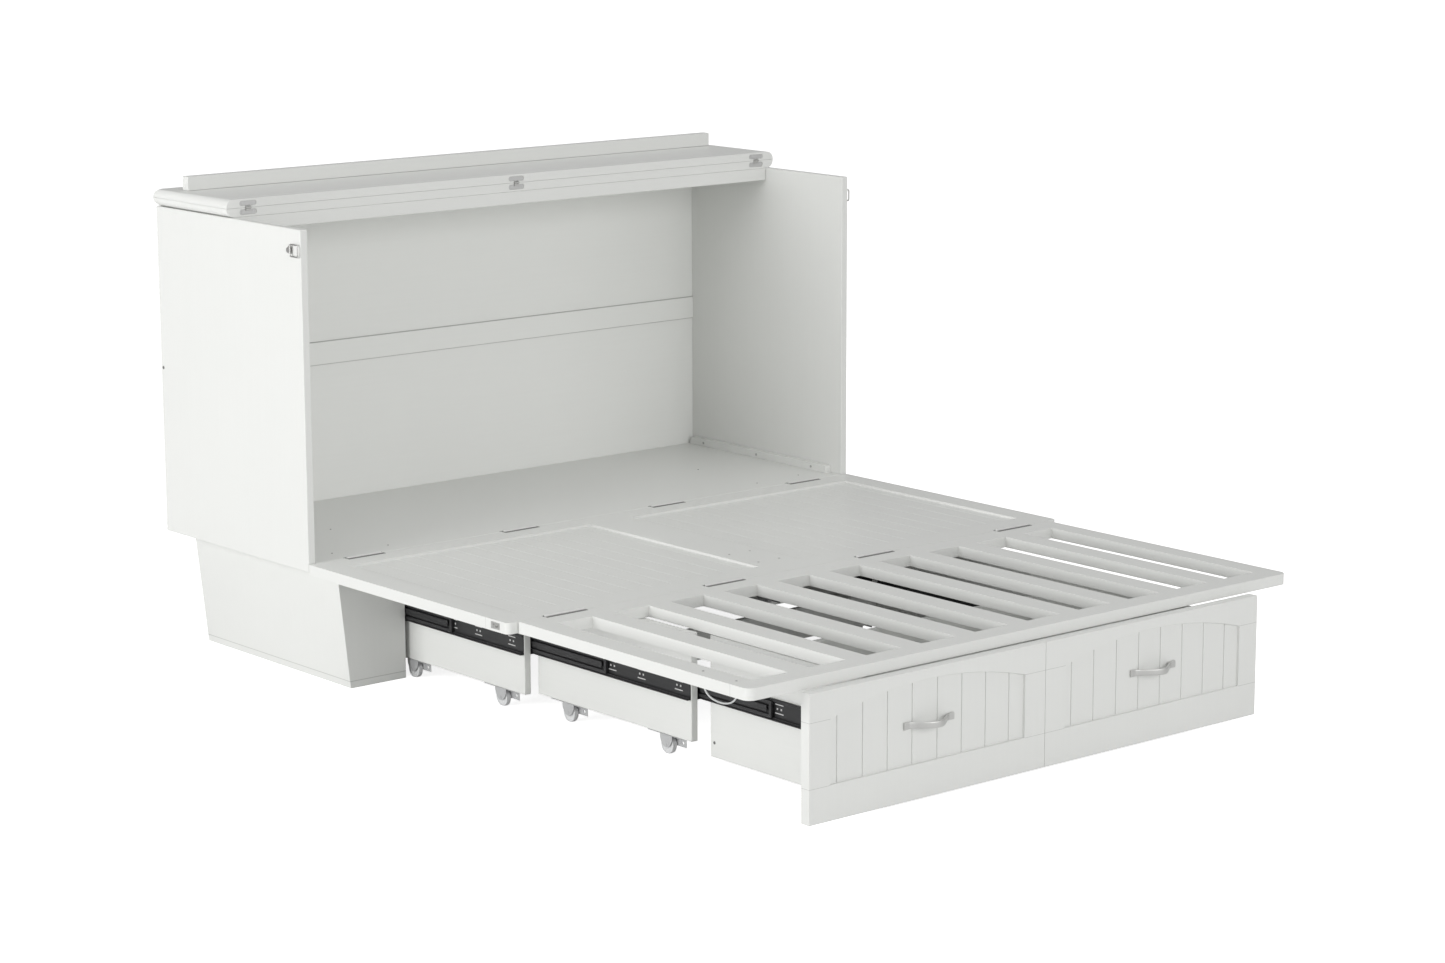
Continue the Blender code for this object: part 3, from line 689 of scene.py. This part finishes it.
black_steel, steel_nodes, steel_links, steel_shader = new_material("black_slide_steel")
steel_place = steel_nodes.new("ShaderNodeTexCoord").outputs["Object"]
steel_place = stretched(steel_nodes, steel_links, steel_place, (900.0, 14.0, 900.0))
streaks = noise_over(steel_nodes, steel_links, steel_place, 1.0, 4.0)
black = two_tone(steel_nodes, steel_links, streaks, (0.022, 0.022, 0.023), (0.050, 0.050, 0.052))
steel_links.new(black, steel_shader.inputs["Base Color"])
rough_between(steel_nodes, steel_links, steel_shader, streaks, 0.28, 0.46)
steel_shader.inputs["Metallic"].default_value = 0.35


def channel(bm, face, sign, out, y, z, sheet, lip):
    """A C-shaped channel: web towards the board, flanges above and below, and turned-in lips."""
    def bar(u, w):
        soft_box(bm, (face + sign * u[0], face + sign * u[1]), y, w, 0.0004, 1)

    bar((out[0], out[0] + sheet), z)
    bar(out, (z[0], z[0] + sheet))
    bar(out, (z[1] - sheet, z[1]))
    bar((out[1] - sheet, out[1]), (z[0], z[0] + lip))
    bar((out[1] - sheet, out[1]), (z[1] - lip, z[1]))


for stage, face_x, body, reach, step in SLIDES:
    for side, sign in (("left", -1), ("right", 1)):
        face = sign * face_x
        y = (along(reach[0]), along(reach[1]))
        inner = along(step)
        bm = bmesh.new()
        channel(bm, face, sign, (0.0003, 0.0062), y, (SLIDE_LOW, SLIDE_HIGH), 0.0014, 0.0060)
        channel(
            bm, face, sign, (0.0022, 0.0104), (inner, y[1] - 0.0004),
            (SLIDE_LOW + 0.0030, SLIDE_HIGH - 0.0030), 0.0016, 0.0085,
        )
        soft_box(
            bm, (face + sign * 0.0030, face + sign * 0.0107), (inner - 0.0050, inner + 0.0030),
            (SLIDE_LOW + 0.0040, SLIDE_HIGH - 0.0040), 0.0012,
        )
        soft_box(
            bm, (face + sign * 0.0084, face + sign * 0.0111), (inner + 0.0100, y[1] - 0.0200),
            (SLIDE_LOW + 0.0155, SLIDE_HIGH - 0.0155), 0.0010,
        )
        ledge = (face + sign * 0.0006, face + sign * 0.0110)
        soft_box(bm, ledge, y, (SLIDE_LOW, SLIDE_LOW + 0.0026), 0.0008)
        node = f"stage{stage}_{side}_slide"
        fit(node + "_channels", to_mesh(node, bm), black_steel, body, [node])

# The fixed outer channel of each slide is screwed to the inner face of the piece outside it, and the
# moving members run inside it.
OUTER_CHANNELS = (
    (1, 0.5569, "cabinet", (0.6070, 0.0800)),
    (2, 0.5259, "stage1", (1.0490, 0.5300)),
    (3, 0.4949, "stage2", (1.5940, 1.0800)),
)
for stage, wall_x, body, reach in OUTER_CHANNELS:
    bm = bmesh.new()
    for sign in (-1, 1):
        z = (SLIDE_LOW - 0.0022, SLIDE_HIGH + 0.0022)
        y = (along(reach[0]), along(reach[1]))
        channel(bm, sign * wall_x, -sign, (0.0002, 0.0098), y, z, 0.0012, 0.0016)
    name = f"slide{stage}_outer_channels"
    fit(name, to_mesh(name, bm), black_steel, body)

# ---- Marks on the slides ---------------------------------
# Small bared spots in groups along the black web of each slide, where it is pressed and drilled:
# two little holes side by side between two short slots.
MARK_GROUPS = {1: (0.787, 0.882, 1.007), 2: (1.330, 1.430, 1.556), 3: (1.845, 1.945, 2.060)}
MARK_Z = 0.1607


def speckled(name, scale, dark, light, rough, detail=2.0, relief=0.0):
    """A plain material in two close tones, with a grain that is raised where `relief` is above 0."""
    made, nodes, links, shader = new_material(name)
    place = nodes.new("ShaderNodeTexCoord").outputs["Object"]
    grain = noise_over(nodes, links, place, scale, detail)
    links.new(two_tone(nodes, links, grain, dark, light), shader.inputs["Base Color"])
    shader.inputs["Roughness"].default_value = rough
    if relief:
        raised(nodes, links, shader, grain, relief, 0.0002)
    return made


bare_mark = speckled("slide_mark", 900.0, (0.45, 0.45, 0.45), (0.72, 0.72, 0.71), 0.5)


def repeat_tree(name, inputs, make, material):
    """A node tree that puts one small part, made by `make`, on each point of a mesh."""
    tree = bpy.data.node_groups.new(name, "GeometryNodeTree")
    face = tree.interface
    face.new_socket("Geometry", in_out="INPUT", socket_type="NodeSocketGeometry")
    for label, value in inputs.items():
        socket = face.new_socket(label, in_out="INPUT", socket_type="NodeSocketFloat")
        socket.default_value = value
    face.new_socket("Geometry", in_out="OUTPUT", socket_type="NodeSocketGeometry")
    nodes, links = tree.nodes, tree.links
    enter = nodes.new("NodeGroupInput")
    leave = nodes.new("NodeGroupOutput")
    points = nodes.new("GeometryNodeMeshToPoints")
    links.new(enter.outputs["Geometry"], points.inputs["Mesh"])
    spread = nodes.new("GeometryNodeInstanceOnPoints")
    links.new(points.outputs[0], spread.inputs["Points"])
    links.new(make(nodes, links, enter), spread.inputs["Instance"])
    real = nodes.new("GeometryNodeRealizeInstances")
    links.new(spread.outputs[0], real.inputs[0])
    paint = nodes.new("GeometryNodeSetMaterial")
    paint.inputs["Material"].default_value = material
    links.new(real.outputs[0], paint.inputs["Geometry"])
    links.new(paint.outputs[0], leave.inputs[0])
    return tree


def repeated(name, tree, points, material, body, values=None):
    """Runs a tree over a set of points and fits the plain result on a body."""
    mesh = bpy.data.meshes.new(name)
    mesh.from_pydata(points, [], [])
    obj = bpy.data.objects.new(name + "_points", mesh)
    bpy.context.scene.collection.objects.link(obj)
    mod = obj.modifiers.new("repeat", "NODES")
    mod.node_group = tree
    for item in tree.interface.items_tree:
        if values and item.in_out == "INPUT" and item.name in values:
            mod[item.identifier] = values[item.name]
    return fit(name, plain(obj), material, body)


def flat_cube(nodes, links, enter):
    size = nodes.new("ShaderNodeCombineXYZ")
    links.new(enter.outputs["Thickness"], size.inputs[0])
    links.new(enter.outputs["Length"], size.inputs[1])
    links.new(enter.outputs["Height"], size.inputs[2])
    cube = nodes.new("GeometryNodeMeshCube")
    links.new(size.outputs[0], cube.inputs["Size"])
    return cube.outputs[0]


mark_tree = repeat_tree(
    "slide_marks", {"Thickness": 0.0004, "Length": 0.004, "Height": 0.004}, flat_cube, bare_mark
)
for stage, face_x, body, *_ in SLIDES:
    for side, sign in (("left", -1), ("right", 1)):
        mark_x = sign * (face_x + 0.0018)
        dots = []
        bars = []
        for distance in MARK_GROUPS[stage]:
            for shift in (-0.0062, 0.0062):
                dots.append((mark_x, along(distance) + shift, MARK_Z))
            for lift in (-0.0095, 0.0095):
                bars.append((mark_x, along(distance), MARK_Z + lift))
        repeated(f"stage{stage}_{side}_slide_dots", mark_tree, dots, bare_mark, body)
        repeated(
            f"stage{stage}_{side}_slide_bars", mark_tree, bars, bare_mark, body,
            {"Length": 0.026, "Height": 0.0020},
        )

# ---- Casters ---------------------------------------------
# Small fixed casters under the stage boards: a zinc bracket with two round cheeks, a riveted axle and a
# screw tab in front, and a grey plastic wheel with a rounded tread.
WHEEL_RADIUS = 0.0205
WHEEL_HALF = 0.0070
BOARD_EDGE = 0.0434
CHEEK_HALF = 0.0205
CHEEK_DROP = 0.0255
CHEEK_IN = WHEEL_HALF + 0.0007    # from the middle of the wheel to the cheeks
CHEEK_OUT = WHEEL_HALF + 0.0017
PLATE_REACH = (0.050, 0.062)   # in front of the axle and behind it
CASTERS = ((1, 0.53465, (0.959, 0.618)), (2, 0.50365, (1.509, 1.167)))

zinc = brushed_metal("zinc_bracket", (0.57, 0.575, 0.58), 0.40, 0.54, grain=1, metallic=0.35)
wheel_plastic = speckled(
    "wheel_plastic", 420.0, (0.62, 0.625, 0.63), (0.74, 0.745, 0.75), 0.45, 3.0, 0.15
)


def turned(bm, centre, profile, sides=48):
    """A ring turned about X from a closed profile of (offset along X, radius)."""
    rings = []
    for i in range(sides):
        angle = 2 * math.pi * i / sides
        ring = []
        for offset, radius in profile:
            place = (offset, radius * math.cos(angle), radius * math.sin(angle))
            ring.append(bm.verts.new(Vector(centre) + Vector(place)))
        rings.append(ring)
    for i in range(sides):
        here, after = rings[i], rings[(i + 1) % sides]
        for j in range(len(profile)):
            k = (j + 1) % len(profile)
            bm.faces.new((here[j], here[k], after[k], after[j]))


WHEEL_PROFILE = (
    (-0.0058, 0.0040), (-0.0058, 0.0080), (-0.0046, 0.0092), (-0.0046, 0.0150), (-0.0060, 0.0162),
    (-0.0060, 0.0188), (-0.0054, 0.0201), (-0.0040, WHEEL_RADIUS), (0.0040, WHEEL_RADIUS),
    (0.0054, 0.0201), (0.0060, 0.0188), (0.0060, 0.0162), (0.0046, 0.0150), (0.0046, 0.0092),
    (0.0058, 0.0080), (0.0058, 0.0040),
)


def bracket_mesh(centre):
    cx, cy, cz = centre
    bm = bmesh.new()
    top = BOARD_EDGE
    for sign in (-1, 1):
        near = cx + sign * CHEEK_IN
        far = cx + sign * CHEEK_OUT
        turns = [math.radians(180 + 180 * i / 28) for i in range(29)]
        outline = [(CHEEK_HALF * math.cos(a), CHEEK_DROP * math.sin(a)) for a in turns]
        outline += [(CHEEK_HALF, 0.0022), (-CHEEK_HALF, 0.0022)]
        add_prism(bm, outline, (near, far), lambda a, b, c: (c, cy + a, top - 0.0030 + b))
        add_rod(bm, (cx + sign * (WHEEL_HALF + 0.0018), cy, cz), 0.0042, 0.0012, "X", 24)
    plate = (cx - CHEEK_OUT, cx + CHEEK_OUT)
    soft_box(bm, plate, (cy - PLATE_REACH[0], cy + PLATE_REACH[1]), (top - 0.0014, top), 0.0004, 1)
    add_rod(bm, centre, 0.0033, 2 * WHEEL_HALF + 0.0016, "X", 20)
    mesh = to_mesh("bracket", bm)
    tab = bmesh.new()
    soft_box(
        tab, (cx + WHEEL_HALF + 0.0005, cx + CHEEK_OUT), (cy - PLATE_REACH[0], cy - 0.0168),
        (cz - 0.0010, top - 0.0010), 0.0004, 1,
    )
    hole = bmesh.new()
    add_rod(hole, (cx + WHEEL_HALF, cy - 0.0385, cz + 0.0085), 0.0030, 0.02, "X", 20)
    both = bmesh.new()
    both.from_mesh(mesh)
    both.from_mesh(carved(to_mesh("tab", tab), hole))
    return to_mesh("bracket", both)


for stage, caster_x, places in CASTERS:
    for side, sign in (("left", -1), ("right", 1)):
        for end, distance in zip(("front", "rear"), places):
            centre = (sign * caster_x, along(distance), WHEEL_RADIUS)
            name = f"stage{stage}_{side}_{end}"
            fit(
                name + "_bracket_pressed", bracket_mesh(centre), zinc, f"stage{stage}",
                [name + "_bracket"],
            )
            wheel = bmesh.new()
            turned(wheel, centre, WHEEL_PROFILE)
            fit(
                name + "_wheel_moulded", to_mesh("wheel", wheel), wheel_plastic, name + "_wheel",
                [name + "_wheel"],
            )

# ---- Drawer box ------------------------------------------
# A wide drawer of plain painted boards round a flat bottom. It runs on the last pair of slides,
# between the boards of the narrower stage.
for board in ("drawer_left_side", "drawer_right_side"):
    paint_node(board, paint_along_y)
for board in ("drawer_back", "drawer_bottom"):
    paint_node(board, paint_along_x)

# ---- Drawer front ----------------------------------------
# A heavy front made to look like two low doors: arched sunk fields of beaded board between stiles and
# rails, and a split down the middle.
DOOR_X = (0.0595, 0.601)
DOOR_LOW, DOOR_SPRING, DOOR_CROWN = 0.085, 0.2205, 0.258
DOOR_SINK = 0.0060
LEFT_BEADS = (-0.580, -0.5106, -0.4431, -0.3753, -0.3053, -0.2367, -0.1689, -0.1015)
RIGHT_BEADS = (0.0824, 0.1495, 0.2183, 0.2867, 0.3543, 0.4224, 0.4906, 0.558)
front_low, front_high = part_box("drawer_front")


def on_front(a, b, c):
    return (a, front_low.y + c, b)


bm = bmesh.new()
add_box(bm, (front_low.x, front_high.x), (front_low.y, front_high.y), (front_low.z, front_high.z))
cut = bmesh.new()
for x in sides_of(DOOR_X):
    add_prism(cut, arch(x, DOOR_LOW, DOOR_SPRING, DOOR_CROWN, 36), (-0.01, DOOR_SINK), on_front)
front_mesh = eased(carved(to_mesh("drawer_front", bm), cut), 0.0010)
beads = bmesh.new()
for bead in LEFT_BEADS + RIGHT_BEADS:
    side = DOOR_X if bead > 0 else (-DOOR_X[1], -DOOR_X[0])
    half = (side[1] - side[0]) / 2
    rise = DOOR_CROWN - DOOR_SPRING
    radius = (half * half + rise * rise) / (2 * rise)
    off = bead - sum(side) / 2
    crown = DOOR_CROWN - radius + math.sqrt(radius * radius - off * off)
    v_groove(beads, bead, (DOOR_LOW + 0.0005, crown - 0.0005), DOOR_SINK, -0.0030, 0.0029, on_front)
v_groove(beads, 0.0, (-0.02, 0.32), 0.0, -0.0026, 0.0016, on_front)
bmesh.ops.recalc_face_normals(beads, faces=beads.faces)
front_mesh = carved(front_mesh, beads)
front_lines = []   # where rails meet stiles, at the spring of the arches and under the fields
for level in (DOOR_SPRING, DOOR_LOW - 0.0004):
    for stile in ((-0.70, -DOOR_X[1]), (-DOOR_X[0], DOOR_X[0]), (DOOR_X[1], 0.70)):
        front_lines.append((2, level, 0.0006, [(0, *stile)]))
# The front's paint is a touch darker than the other boards: painted shade on the drawer's front face.
paint_front_painted_shade = sprayed_paint("paint_drawer_front", 2, front_lines, 0.99)
fit("drawer_front_doors", front_mesh, paint_front_painted_shade, "drawer", ["drawer_front"])

# ---- Drawer handles --------------------------------------
# Bowed flat bars in satin nickel with a flat foot at each end, one on each arched field of the
# drawer front, screwed through the board from behind.
HANDLE_HALF = 0.0695
HANDLE_Z = 0.168
HANDLE_OUT = 0.0335
HANDLE_X = 0.330
BAR_STEPS = 56
BAR_SIDES = 16


def bowed_bar():
    """A flat bar along X, bowed towards -Y from a face at Y = 0, with its feet flat on the face."""
    bm = bmesh.new()
    rings = []
    path = []
    for i in range(BAR_STEPS + 1):
        s = -1 + 2 * i / BAR_STEPS
        reach = min(1.0, abs(s) / 0.80)
        bow = 0.5 * (1 + math.cos(math.pi * reach))
        bow = bow ** 0.72
        path.append((s * HANDLE_HALF, (HANDLE_OUT - 0.0028) * bow, s))
    for i, (x, out, s) in enumerate(path):
        before = path[max(0, i - 1)]
        after = path[min(BAR_STEPS, i + 1)]
        run = Vector((after[0] - before[0], after[1] - before[1])).normalized()
        normal = Vector((-run.y, run.x))
        half_t = 0.0016 + 0.0005 * min(1.0, max(0.0, (0.85 - abs(s)) / 0.4))
        half_h = 0.0068 + 0.0014 * max(0.0, (abs(s) - 0.7) / 0.3)
        if abs(s) > 0.985:
            half_h *= 0.93
        ring = []
        for k in range(BAR_SIDES):
            angle = 2 * math.pi * k / BAR_SIDES
            cx = math.copysign(abs(math.cos(angle)) ** 0.40, math.cos(angle)) * half_t
            cz = math.copysign(abs(math.sin(angle)) ** 0.55, math.sin(angle)) * half_h
            ring.append(bm.verts.new((x + normal.x * cx, -(out + 0.0022 + normal.y * cx), cz)))
        rings.append(ring)
    for here, after in zip(rings, rings[1:]):
        for k in range(BAR_SIDES):
            j = (k + 1) % BAR_SIDES
            bm.faces.new((here[k], here[j], after[j], after[k]))
    bm.faces.new(rings[0])
    bm.faces.new(rings[-1])
    return to_mesh("handle", bm)


handle_metal = brushed_metal("handle_nickel", (0.62, 0.62, 0.605), 0.34, 0.48, metallic=0.85)
for side, sign in (("left", -1), ("right", 1)):
    mesh = bowed_bar()
    mesh.transform(Matrix.Translation((sign * HANDLE_X, front_low.y + DOOR_SINK, HANDLE_Z)))
    node = f"drawer_{side}_handle"
    fit(node + "_bowed", mesh, handle_metal, "drawer", [node])

# Two more stand upright side by side on the closed cabinet's front, the face of the middle panel that
# is underneath when the bed is open.
DOOR_HANDLE_X = 0.031
DOOR_HANDLE_Y = along(1.20125)
UPRIGHT = Matrix(((0, 0, 1), (1, 0, 0), (0, 1, 0))).to_4x4()
for side, sign in (("left", -1), ("right", 1)):
    mesh = bowed_bar()
    place = (sign * DOOR_HANDLE_X, DOOR_HANDLE_Y, panel_low.z)
    mesh.transform(Matrix.Translation(place) @ UPRIGHT)
    fit(f"door_{side}_handle_bowed", mesh, handle_metal, "middle_panel")

# ---- Floor cleats ----------------------------------------
# A painted batten with rounded ends lies along each side of the cabinet floor, held by three
# screws through its inner face into the side panel.
CLEAT = 0.0190                          # height of a cleat
CLEAT_Y = (along(0.572), along(0.030))
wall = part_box("right_side_panel")[0].x
cleat_x = wall - 0.0188                 # inner face of a cleat
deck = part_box("cabinet_floor")[1].z
for side, sign in (("left", -1), ("right", 1)):
    bm = bmesh.new()
    add_box(bm, (sign * cleat_x, sign * (wall - 0.0002)), CLEAT_Y, (deck, deck + CLEAT))
    ends = [
        e for e in bm.edges
        if abs(e.verts[0].co.x - e.verts[1].co.x) > 0.001 and e.verts[0].co.z > deck + CLEAT / 2
    ]
    bmesh.ops.bevel(bm, geom=ends, offset=0.0085, segments=6, profile=0.5, affect="EDGES")
    fit(side + "_floor_cleat", eased(to_mesh("cleat", bm), 0.0010), paint_along_y, "cabinet")

# ---- Screws ----------------------------------------------
# Zinc-plated pan-head screws in the cleats, in the middle stile of the middle panel and at the pull
# loop, and small dark discs at the screw holes in the cabinet floor, the side panel and the drawer
# sides, their dark colour painted shade for the inside of the holes.
screw_metal = brushed_metal("screw_zinc", (0.50, 0.50, 0.49), 0.3, 0.45)


def screw_head(axis):
    def make(nodes, links, enter):
        head = nodes.new("GeometryNodeMeshCylinder")
        head.inputs["Vertices"].default_value = 16
        links.new(enter.outputs["Radius"], head.inputs["Radius"])
        links.new(enter.outputs["Height"], head.inputs["Depth"])
        cap = nodes.new("GeometryNodeMeshUVSphere")
        cap.inputs["Segments"].default_value = 16
        cap.inputs["Rings"].default_value = 8
        links.new(enter.outputs["Radius"], cap.inputs["Radius"])
        dome = nodes.new("GeometryNodeTransform")
        dome.inputs["Scale"].default_value = (0.92, 0.92, 0.42)
        links.new(cap.outputs[0], dome.inputs["Geometry"])
        both = nodes.new("GeometryNodeJoinGeometry")
        links.new(head.outputs[0], both.inputs[0])
        links.new(dome.outputs[0], both.inputs[0])
        turn = nodes.new("GeometryNodeTransform")
        tilt = {"X": (0.0, math.pi / 2, 0.0), "Y": (math.pi / 2, 0.0, 0.0), "Z": (0.0, 0.0, 0.0)}
        turn.inputs["Rotation"].default_value = tilt[axis]
        links.new(both.outputs[0], turn.inputs["Geometry"])
        return turn.outputs[0]
    return make


PAN_HEAD = {"Radius": 0.0034, "Height": 0.0012}
screws_up = repeat_tree("screws_up", PAN_HEAD, screw_head("Z"), screw_metal)
screws_side = repeat_tree("screws_side", PAN_HEAD, screw_head("X"), screw_metal)
cleat_screws = []
for sign in (-1, 1):
    for distance in (0.515, 0.300, 0.085):
        cleat_screws.append((sign * cleat_x, along(distance), deck + CLEAT / 2))
repeated("cleat_screws", screws_side, cleat_screws, screw_metal, "cabinet")
stile_screws = []
for distance in (1.1500, 1.2525):
    for x in (-DOOR_HANDLE_X, DOOR_HANDLE_X):
        stile_screws.append((x, along(distance), panel_high.z - 0.0002))
repeated("stile_screws", screws_up, stile_screws, screw_metal, "middle_panel", {"Radius": 0.0028})

# Dark discs over the screw holes: painted shade for the inside of each hole.
hole_painted_shade = speckled("screw_hole", 600.0, (0.10, 0.10, 0.10), (0.18, 0.18, 0.175), 0.6)
floor_holes = []
for x, distance in ((0.565, 0.322), (0.711, 0.545), (0.563, 0.556)):
    for sign in (-1, 1):
        floor_holes.append((sign * x, along(distance), deck))
floor_values = {"Radius": 0.0022, "Height": 0.0004}
repeated("floor_screw_holes", screws_up, floor_holes, hole_painted_shade, "cabinet", floor_values)
rear_screw = [(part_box("left_side_panel")[0].x, along(0.010), 0.683)]
repeated("side_rear_screw", screws_side, rear_screw, hole_painted_shade, "cabinet", {"Radius": 0.0040})
drawer_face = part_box("drawer_left_side")[0].x
drawer_screws = [(x, along(1.634), 0.045) for x in (drawer_face, -drawer_face)]
repeated("drawer_screws", screws_side, drawer_screws, hole_painted_shade, "drawer", {"Radius": 0.0034})

# ---- Pull loop -------------------------------------------
# A loop of coated wire that hangs under the foot panel's left edge, held by two small screws. It is
# pulled to lift and fold the platform.
PULL_X = -0.783
PULL_WIRE = 0.0018
PULL_PATH = ((1.962, 0.2830), (1.972, 0.2700), (1.990, 0.2625), (2.015, 0.2600), (2.038, 0.2635),
             (2.054, 0.2715), (2.063, 0.2830))
coated_wire = speckled("coated_wire", 500.0, (0.46, 0.47, 0.47), (0.58, 0.59, 0.59), 0.35)


def smooth_path(points, rounds=3):
    """Cuts a path's corners, each time at a quarter of the way along its pieces."""
    for _ in range(rounds):
        cut_path = [points[0]]
        for a, b in zip(points, points[1:]):
            cut_path.append(tuple(0.75 * p + 0.25 * q for p, q in zip(a, b)))
            cut_path.append(tuple(0.25 * p + 0.75 * q for p, q in zip(a, b)))
        cut_path.append(points[-1])
        points = cut_path
    return points


pull = smooth_path([(PULL_X, along(distance), z) for distance, z in PULL_PATH])
fit("foot_pull_loop", bent_wire("pull", pull, PULL_WIRE), coated_wire, "foot_panel")
loop_screws = [(-0.764, along(1.937), foot_high.z), (-0.765, along(2.040), foot_high.z)]
flat_heads = {"Radius": 0.0030, "Height": 0.0006}
repeated("loop_screws", screws_up, loop_screws, screw_metal, "foot_panel", flat_heads)

# ---- Studio ----------------------------------------------
# Pale floor, an even bright surround, a broad key light from the left, softer fills from the foot
# end and from the right, and a wide one overhead.
FLOOR_TONE = (0.90, 0.90, 0.90)
FLOOR_HALF = 40
floor_mesh = bpy.data.meshes.new("studio_floor")
corners = [(FLOOR_HALF * a, FLOOR_HALF * b, 0) for a, b in ((-1, -1), (1, -1), (1, 1), (-1, 1))]
floor_mesh.from_pydata(corners, [], [(0, 1, 2, 3)])
studio_floor = bpy.data.objects.new("studio_floor", floor_mesh)
bpy.context.scene.collection.objects.link(studio_floor)
floor_paint, floor_nodes, floor_links, floor_shader = new_material("studio_floor")
floor_shader.inputs["Base Color"].default_value = (*FLOOR_TONE, 1.0)
floor_shader.inputs["Roughness"].default_value = 0.9
floor_shader.inputs["Specular IOR Level"].default_value = 0.0
floor_shader.inputs["Emission Color"].default_value = (1.0, 1.0, 1.0, 1.0)
seen_by_camera = floor_nodes.new("ShaderNodeLightPath").outputs["Is Camera Ray"]
floor_lift = arithmetic(floor_nodes, floor_links, "MULTIPLY", seen_by_camera, 0.82)
floor_links.new(floor_lift, floor_shader.inputs["Emission Strength"])
floor_mesh.materials.append(floor_paint)

world = bpy.data.worlds.new("studio")
bpy.context.scene.world = world
world.use_nodes = True
sky = world.node_tree.nodes["Background"]
sky.inputs["Color"].default_value = (1.0, 1.0, 1.0, 1.0)
sky.inputs["Strength"].default_value = 0.36


def softbox(name, place, aim, size, power):
    light = bpy.data.lights.new(name, "AREA")
    light.shape = "RECTANGLE"
    light.size, light.size_y = size
    light.energy = power
    obj = bpy.data.objects.new(name, light)
    bpy.context.scene.collection.objects.link(obj)
    obj.location = place
    obj.rotation_euler = (Vector(aim) - Vector(place)).to_track_quat("-Z", "Y").to_euler()


BED_MIDDLE = (0.0, 0.0, 0.4)
softbox("key_left", (-8.0, 0.5, 2.2), BED_MIDDLE, (5.0, 3.5), 392.0)
softbox("fill_foot", (-1.0, -8.0, 2.6), BED_MIDDLE, (6.0, 3.5), 192.0)
softbox("fill_right", (4.0, -7.0, 2.2), BED_MIDDLE, (5.0, 3.5), 58.0)
softbox("overhead", (0.0, -0.5, 6.0), BED_MIDDLE, (6.0, 6.0), 98.0)

# ---- Camera ----------------------------------------------
CAMERA_PLACE = (-5.10393, -6.07644, 2.03711)
CAMERA_YAW, CAMERA_PITCH, CAMERA_ROLL = 40.0778, -11.2212, 0.1442
camera_data = bpy.data.cameras.new("camera")
camera_data.sensor_width = 36.0
camera_data.lens = 87.793
camera = bpy.data.objects.new("camera", camera_data)
bpy.context.scene.collection.objects.link(camera)
turn = Matrix.Rotation(math.radians(-CAMERA_YAW), 4, "Z")
turn = turn @ Matrix.Rotation(math.radians(90 + CAMERA_PITCH), 4, "X")
turn = turn @ Matrix.Rotation(math.radians(-CAMERA_ROLL), 4, "Z")
camera.matrix_world = Matrix.Translation(CAMERA_PLACE) @ turn
camera_data.clip_end = 200.0
bpy.context.scene.camera = camera
bpy.context.scene.view_settings.view_transform = "Standard"
